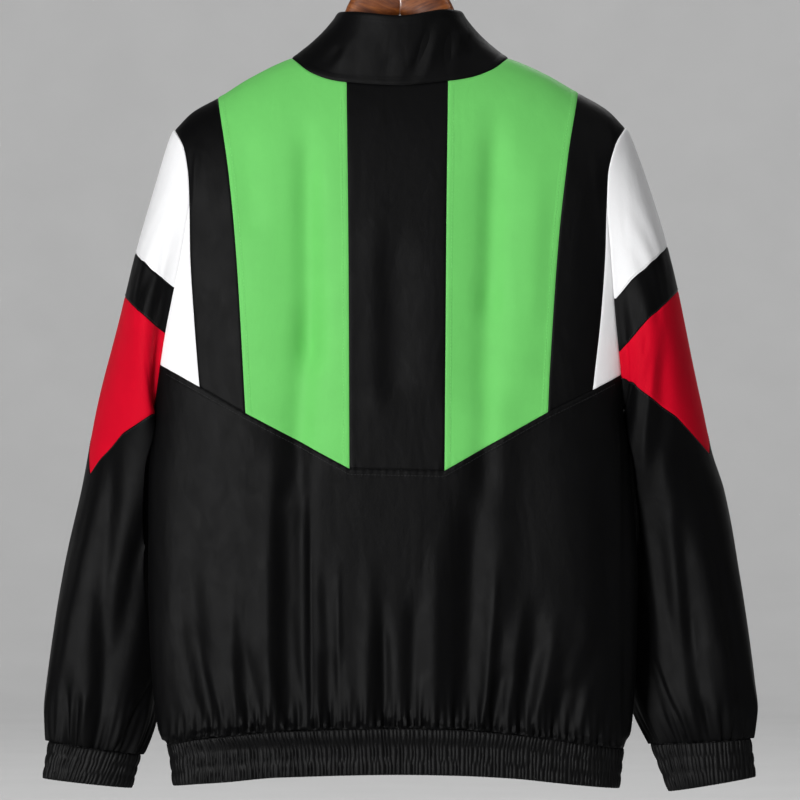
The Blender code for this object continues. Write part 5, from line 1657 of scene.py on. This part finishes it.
def wood_ring(x, high, drop, thick):
    """One section of a hanger arm, rounder than a box and squarer than an oval."""
    turn = np.linspace(0, 2 * math.pi, WOOD_SIDES + 1)[:-1]
    c = np.cos(turn)
    s = np.sin(turn)
    y = thick * np.sign(s) * np.abs(s) ** WOOD_POWER
    z = high - drop / 2 + drop / 2 * np.sign(c) * np.abs(c) ** WOOD_POWER
    return np.stack([np.full(turn.shape, x), y, z], -1)


def add_loft(name, rings, look):
    """A closed solid through rings of points."""
    rings = np.array(rings)
    count = rings.shape[1]
    middles = rings[[0, -1]].mean(axis=1)
    points = np.concatenate([rings.reshape(-1, 3), middles])
    _, faces = grid_faces(len(rings), count, True)
    faces = faces.tolist()
    first = len(points) - 2
    last_ring = (len(rings) - 1) * count
    caps = []
    for j in range(count):
        k = (j + 1) % count
        caps.append((j, first, k))
        caps.append((last_ring + k, first + 1, last_ring + j))
    mesh = bpy.data.meshes.new(name)
    faces = [face[::-1] for face in faces] + [cap[::-1] for cap in caps]
    mesh.from_pydata((points * MM).tolist(), [], faces)
    mesh.validate()
    volume = sum(tri_volume(points, face) for face in faces)
    if volume < 0:
        mesh.flip_normals()
    mesh.shade_smooth()
    mesh.set_sharp_from_angle(angle=math.radians(42))
    return link(name, mesh, look)


def tri_volume(points, face):
    total = 0.0
    for i in range(1, len(face) - 1):
        total += float(points[face[0]] @ np.cross(points[face[i]], points[face[i + 1]]))
    return total


def add_hanger(looks):
    """Two shaped wooden arms that meet in a dowelled joint at the middle."""
    stations = HANGER["across"]
    below = HANGER["below_shoulder"]
    across = np.concatenate([JOINT_STATIONS, np.linspace(*ARM_SPAN, ARM_STATIONS), TIP_STATIONS])
    for side, sign in SIGN.items():
        high = np.where(below > 0, shoulder(sign * stations) - below, HANGER["top"])
        high_at = curve(stations, high)
        drop_at = curve(stations, HANGER["drop"])
        thick_at = curve(stations, HANGER["half_thickness"])
        rings = []
        for x in across:
            inset = JOINT_ROUND * (1 - min(1.0, (x - JOINT_HALF_GAP) / JOINT_ROUND_LENGTH)) ** 2
            inset = inset + TIP_ROUND * max(0.0, (x - TIP_START) / 2.0) ** 2
            high_x, drop, thick = float(high_at(x)), float(drop_at(x)), float(thick_at(x))
            rings.append(wood_ring(sign * x, high_x - inset, drop - 2 * inset, thick - inset))
        piece = add_loft(f"hanger_{side}_wood", rings, looks[f"wood_{side}"])
        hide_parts(f"hanger_{side}")


def add_hook(looks):
    """The steel hook with its stem: a bent wire with a rounded end."""
    center_z = WIRE_RADIUS - HOOK_RADIUS
    knots = list(HOOK_STEM)
    for degrees in range(*HOOK_TURN):
        turn = math.radians(degrees)
        knots.append((HOOK_RADIUS * math.cos(turn), center_z + HOOK_RADIUS * math.sin(turn)))
    knots = np.array(knots)
    spaced = path_length(knots)
    at = np.linspace(0, spaced[-1], HOOK_STATIONS)
    x = curve(spaced, knots[:, 0])(at)
    z = curve(spaced, knots[:, 1])(at)
    way = unit(np.stack([np.gradient(x), np.gradient(z)], -1))
    turn = np.linspace(0, 2 * math.pi, WIRE_SIDES + 1)[:-1]
    over = np.array([0.0, 1.0, 0.0])
    rings = []
    for i in range(len(at)):
        ending = max(0.0, (at[i] - spaced[-1] + 2.0) / 2.0)
        radius = WIRE_RADIUS * math.sqrt(max(0.02, 1 - ending**2))
        side = np.array([way[i, 1], 0.0, -way[i, 0]])
        center = np.array([x[i], 0.0, z[i]])
        rings.append(center + radius * (np.cos(turn)[:, None] * side + np.sin(turn)[:, None] * over))
    hook = add_loft("hanger_hook_wire", rings, looks["steel"])
    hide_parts("hanger_hook")


def add_ferrule(looks):
    """The turned steel collar where the hook enters the wood."""
    turn = np.linspace(0, 2 * math.pi, WIRE_SIDES + 1)[:-1]
    c, s = np.cos(turn), np.sin(turn)
    rings = [np.stack([r * c, r * s, np.full(turn.shape, z)], -1) for r, z in FERRULE]
    add_loft("hanger_ferrule", rings, looks["steel"])


class Look:
    """One material: each method adds a node to it and gives the node's output."""

    def __init__(self, name):
        self.material = bpy.data.materials.new(name)
        self.material.use_nodes = True
        self.nodes = self.material.node_tree.nodes
        self.links = self.material.node_tree.links
        self.shader = self.nodes["Principled BSDF"]

    def node(self, kind, entry, source, **values):
        """A new node with the given values, and its named entry fed from a source."""
        made = self.nodes.new(kind)
        for name, value in values.items():
            made.inputs[name.replace("_", " ")].default_value = value
        self.links.new(source, made.inputs[entry])
        return made

    def mapped(self, vector, scale, rotation=(0.0, 0.0, 0.0)):
        made = self.node("ShaderNodeMapping", "Vector", vector, Scale=scale, Rotation=rotation)
        return made.outputs["Vector"]

    def place(self, scale=(1.0, 1.0, 1.0), rotation=(0.0, 0.0, 0.0)):
        """Object coordinates under a mapping of the given scale."""
        place = self.nodes.new("ShaderNodeTexCoord")
        return self.mapped(place.outputs["Object"], scale, rotation)

    def noise(self, vector, scale, detail=3.0, roughness=0.5, distortion=0.0):
        values = {"Scale": scale, "Detail": detail, "Roughness": roughness, "Distortion": distortion}
        return self.node("ShaderNodeTexNoise", "Vector", vector, **values).outputs["Fac"]

    def wave(self, vector, scale, direction, distortion=0.0):
        values = {"Scale": scale, "Distortion": distortion, "Detail": 1.0, "Detail_Scale": 2.0}
        made = self.node("ShaderNodeTexWave", "Vector", vector, **values)
        made.bands_direction = direction
        return made.outputs["Fac"]

    def ramp(self, factor, *stops):
        made = self.node("ShaderNodeValToRGB", "Fac", factor)
        marks = made.color_ramp.elements
        while len(marks) < len(stops):
            marks.new(0.5)
        for mark, (place, colour) in zip(marks, stops):
            mark.position = place
            mark.color = (*colour, 1.0)
        return made.outputs["Color"]

    def greys(self, factor, *stops):
        return self.ramp(factor, *((place, (value,) * 3) for place, value in stops))

    def dyed(self, factor, colour, *stops):
        """The colour, at each stop as bright as the stop's share of it."""
        return self.ramp(factor, *((place, shaded(colour, share)) for place, share in stops))

    def bump(self, height, distance, strength, below=None):
        made = self.node("ShaderNodeBump", "Height", height, Distance=distance, Strength=strength)
        if below is not None:
            self.links.new(below, made.inputs["Normal"])
        return made.outputs["Normal"]

    def added(self, one, other):
        made = self.node("ShaderNodeMath", 0, one)
        made.operation = "ADD"
        self.links.new(other, made.inputs[1])
        return made.outputs[0]

    def finished(self, **inputs):
        """The material, with each named input of its shader set or fed."""
        for name, value in inputs.items():
            entry = self.shader.inputs[name.replace("_", " ")]
            if isinstance(value, bpy.types.NodeSocket):
                self.links.new(value, entry)
            else:
                entry.default_value = value
        return self.material


def shaded(colour, factor):
    return tuple(min(1.0, part * factor) for part in colour)


def fabric(name, colour, roughness, contrast, crinkle, specular):
    """A light plain-woven nylon: fine weave, a faint crinkle and slightly uneven dye."""
    look = Look(name)
    place = look.place()
    cloud = look.noise(place, 22.0, 4.0, 0.6)
    base = look.dyed(cloud, colour, (0.25, 1 - contrast), (0.75, 1 + contrast))
    weave = look.added(look.wave(place, 420.0, "X"), look.wave(place, 420.0, "Z"))
    soft = look.noise(look.place((1.0, 1.0, 0.55)), 75.0, 4.0, 0.55, 0.4)
    broad = look.noise(look.place((1.0, 1.0, 0.35)), 26.0, 2.0, 0.5, 0.6)
    normal = look.bump(broad, 0.004, crinkle)
    normal = look.bump(soft, 0.0012, crinkle, normal)
    normal = look.bump(weave, 0.00012, 0.35, normal)
    rough = look.greys(soft, (0.2, roughness - 0.07), (0.8, roughness + 0.08))
    return look.finished(Base_Color=base, Normal=normal, Roughness=rough, Specular_IOR_Level=specular)


def rib_knit(name, colour):
    """Elastic band cloth: matt, with a fine crosswise grain."""
    look = Look(name)
    place = look.place()
    base = look.dyed(look.noise(place, 60.0, 3.0), colour, (0.3, 0.8), (0.7, 1.3))
    grain = look.wave(place, 300.0, "Z", 0.6)
    normal = look.bump(look.noise(place, 240.0, 2.0), 0.0004, 0.5)
    normal = look.bump(grain, 0.00015, 0.5, normal)
    return look.finished(Base_Color=base, Normal=normal, Roughness=0.46, Specular_IOR_Level=RIB_SPECULAR)


def thread(name, colour):
    """Twisted sewing thread."""
    look = Look(name)
    cloud = look.noise(look.place(), 700.0, 2.0)
    base = look.dyed(cloud, colour, (0.3, 0.8), (0.7, 1.2))
    return look.finished(Base_Color=base, Normal=look.bump(cloud, 0.0001, 0.6), Roughness=0.5)


def wood(name, lean):
    """Varnished red-brown wood whose grain runs along one arm of the hanger."""
    look = Look(name)
    grain = look.mapped(look.place(rotation=(0.0, lean, 0.0)), (7.0, 60.0, 60.0))
    streaks = look.noise(grain, 3.2, 6.0, 0.62, 0.7)
    fine = look.noise(grain, 14.0, 3.0, 0.6)
    base = look.ramp(streaks, *WOOD_COLOURS)
    normal = look.bump(fine, 0.0003, 0.25)
    rough = look.greys(fine, (0.2, 0.30), (0.8, 0.42))
    return look.finished(
        Base_Color=base, Normal=normal, Roughness=rough, Coat_Weight=0.5, Coat_Roughness=0.14
    )


def metal(name, colour, roughness):
    """Metal with faint handling marks that vary its polish."""
    look = Look(name)
    place = look.place()
    marks = look.noise(place, 160.0, 4.0, 0.6)
    base = look.dyed(look.noise(place, 40.0, 2.0), colour, (0.3, 0.9), (0.7, 1.1))
    rough = look.greys(marks, (0.3, max(0.05, roughness - 0.08)), (0.75, roughness + 0.12))
    normal = look.bump(marks, 0.00008, 0.1)
    return look.finished(Base_Color=base, Normal=normal, Roughness=rough, Metallic=1.0)


def make_looks():
    """Every material, by the name of its slot or of what it covers."""
    return {
        "black_fabric": fabric("black_nylon", BLACK_ALBEDO, 0.49, 0.15, 0.35, BLACK_SPECULAR),
        "green_fabric": fabric("green_nylon", GREEN_ALBEDO, 0.50, 0.04, 0.22, 0.08),
        "white_fabric": fabric("white_nylon", WHITE_ALBEDO, 0.55, 0.01, 0.25, 0.1),
        "red_fabric": fabric("red_nylon", RED_ALBEDO, 0.58, 0.06, 0.25, 0.03),
        "black_rib": rib_knit("elastic_rib", RIB_ALBEDO),
        "wood_left": wood("varnished_wood_left", -WOOD_LEAN),
        "wood_right": wood("varnished_wood_right", WOOD_LEAN),
        "steel": metal("polished_steel", STEEL_ALBEDO, 0.22),
        "zip_tape": rib_knit("woven_tape", TAPE_ALBEDO),
        "zip_metal": metal("dark_zip_metal", ZIP_ALBEDO, 0.34),
        "black_thread": thread("black_sewing_thread", BLACK_THREAD_ALBEDO),
        "white_thread": thread("white_sewing_thread", WHITE_THREAD_ALBEDO),
        "green_thread": thread("green_sewing_thread", GREEN_THREAD_ALBEDO),
    }


def finish_zip(looks):
    """The slider and its pull keep their solids, with their edges rounded."""
    for node, width in ZIP_ROUNDS.items():
        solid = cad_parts[node]
        solid.data.materials.clear()
        solid.data.materials.append(looks["zip_metal"])
        rounded = solid.modifiers.new("rounded", "BEVEL")
        rounded.width = width
        rounded.segments = 3
        rounded.limit_method = "ANGLE"
        rounded.angle_limit = math.radians(40)


def add_camera():
    data = bpy.data.cameras.new("camera")
    data.sensor_width = SENSOR_WIDTH
    data.lens = SENSOR_WIDTH * VIEW_DISTANCE / VIEW_WIDTH
    camera = bpy.data.objects.new("camera", data)
    camera.location = (VIEW_MIDDLE[0], -VIEW_DISTANCE, VIEW_MIDDLE[1])
    camera.rotation_euler = (math.radians(90), 0.0, 0.0)
    bpy.context.scene.collection.objects.link(camera)
    bpy.context.scene.camera = camera


def add_backdrop():
    """A pale floor that rises in a wide curve into the studio's walls."""
    profile = [(FLOOR_REACH, FLOOR_HEIGHT)]
    for i in range(1, CURVE_STEPS + 1):
        turn = math.pi / 2 * i / CURVE_STEPS
        out, up = WALL_CURVE * math.sin(turn), WALL_CURVE * (1 - math.cos(turn))
        profile.append((FLOOR_REACH + out, FLOOR_HEIGHT + up))
    profile.append((FLOOR_REACH + WALL_CURVE, WALL_HEIGHT))
    verts = [(0.0, 0.0, FLOOR_HEIGHT)]
    for r, z in profile:
        for j in range(FLOOR_SIDES):
            turn = 2 * math.pi * j / FLOOR_SIDES
            verts.append((r * math.cos(turn), r * math.sin(turn), z))
    faces = [(0, 1 + j, 1 + (j + 1) % FLOOR_SIDES) for j in range(FLOOR_SIDES)]
    faces += [(a, d, c, b) for b, a, d, c in tube_faces(len(profile), FLOOR_SIDES, 1)]
    mesh = bpy.data.meshes.new("studio_floor")
    mesh.from_pydata(verts, [], faces)
    mesh.shade_smooth()
    look = Look("pale_paper")
    grain = look.greys(look.noise(look.place(), 5.0), (0.3, 0.50), (0.7, 0.52))
    mesh.materials.append(look.finished(Base_Color=grain, Roughness=0.9))
    floor = bpy.data.objects.new("studio_floor", mesh)
    bpy.context.scene.collection.objects.link(floor)


def add_light(name, place, target, size, power):
    data = bpy.data.lights.new(name, "AREA")
    data.shape = "RECTANGLE"
    data.size, data.size_y = size
    data.energy = power
    lamp = bpy.data.objects.new(name, data)
    lamp.location = place
    way = np.array(target) - np.array(place)
    flat = math.hypot(way[0], way[1])
    lamp.rotation_euler = (math.atan2(flat, -way[2]), 0.0, math.atan2(way[1], way[0]) - math.pi / 2)
    bpy.context.scene.collection.objects.link(lamp)


def add_studio():
    """A dim white sky, the backdrop, four lamps for the garment and three for the walls."""
    world = bpy.data.worlds.new("studio")
    world.use_nodes = True
    sky = world.node_tree.nodes["Background"]
    sky.inputs["Color"].default_value = (1.0, 1.0, 1.0, 1.0)
    sky.inputs["Strength"].default_value = WORLD_STRENGTH
    bpy.context.scene.world = world
    add_backdrop()
    for lamp in LAMPS:
        add_light(*lamp)
    for name, turn, share in WALL_LAMPS:
        c, s = math.cos(math.radians(turn)), math.sin(math.radians(turn))
        place = (WALL_LAMP_REACH * c, WALL_LAMP_REACH * s, WALL_LAMP_HEIGHT)
        target = (WALL_TARGET_REACH * c, WALL_TARGET_REACH * s, WALL_TARGET_HEIGHT)
        add_light(name, place, target, WALL_LAMP_SIZE, WALL_POWER * share)
    bpy.context.scene.view_settings.view_transform = "Standard"


looks = make_looks()
add_camera()
add_studio()
add_upper_back(looks)
add_lower_back(looks)
add_fronts(looks)
add_collar(looks)
add_hem_band(looks)
for side in SIGN:
    add_sleeve(side, looks)
    add_cuff(side, looks)
add_tapes(looks)
add_teeth(looks)
add_sewing(looks)
add_hanger(looks)
add_hook(looks)
add_ferrule(looks)
finish_zip(looks)
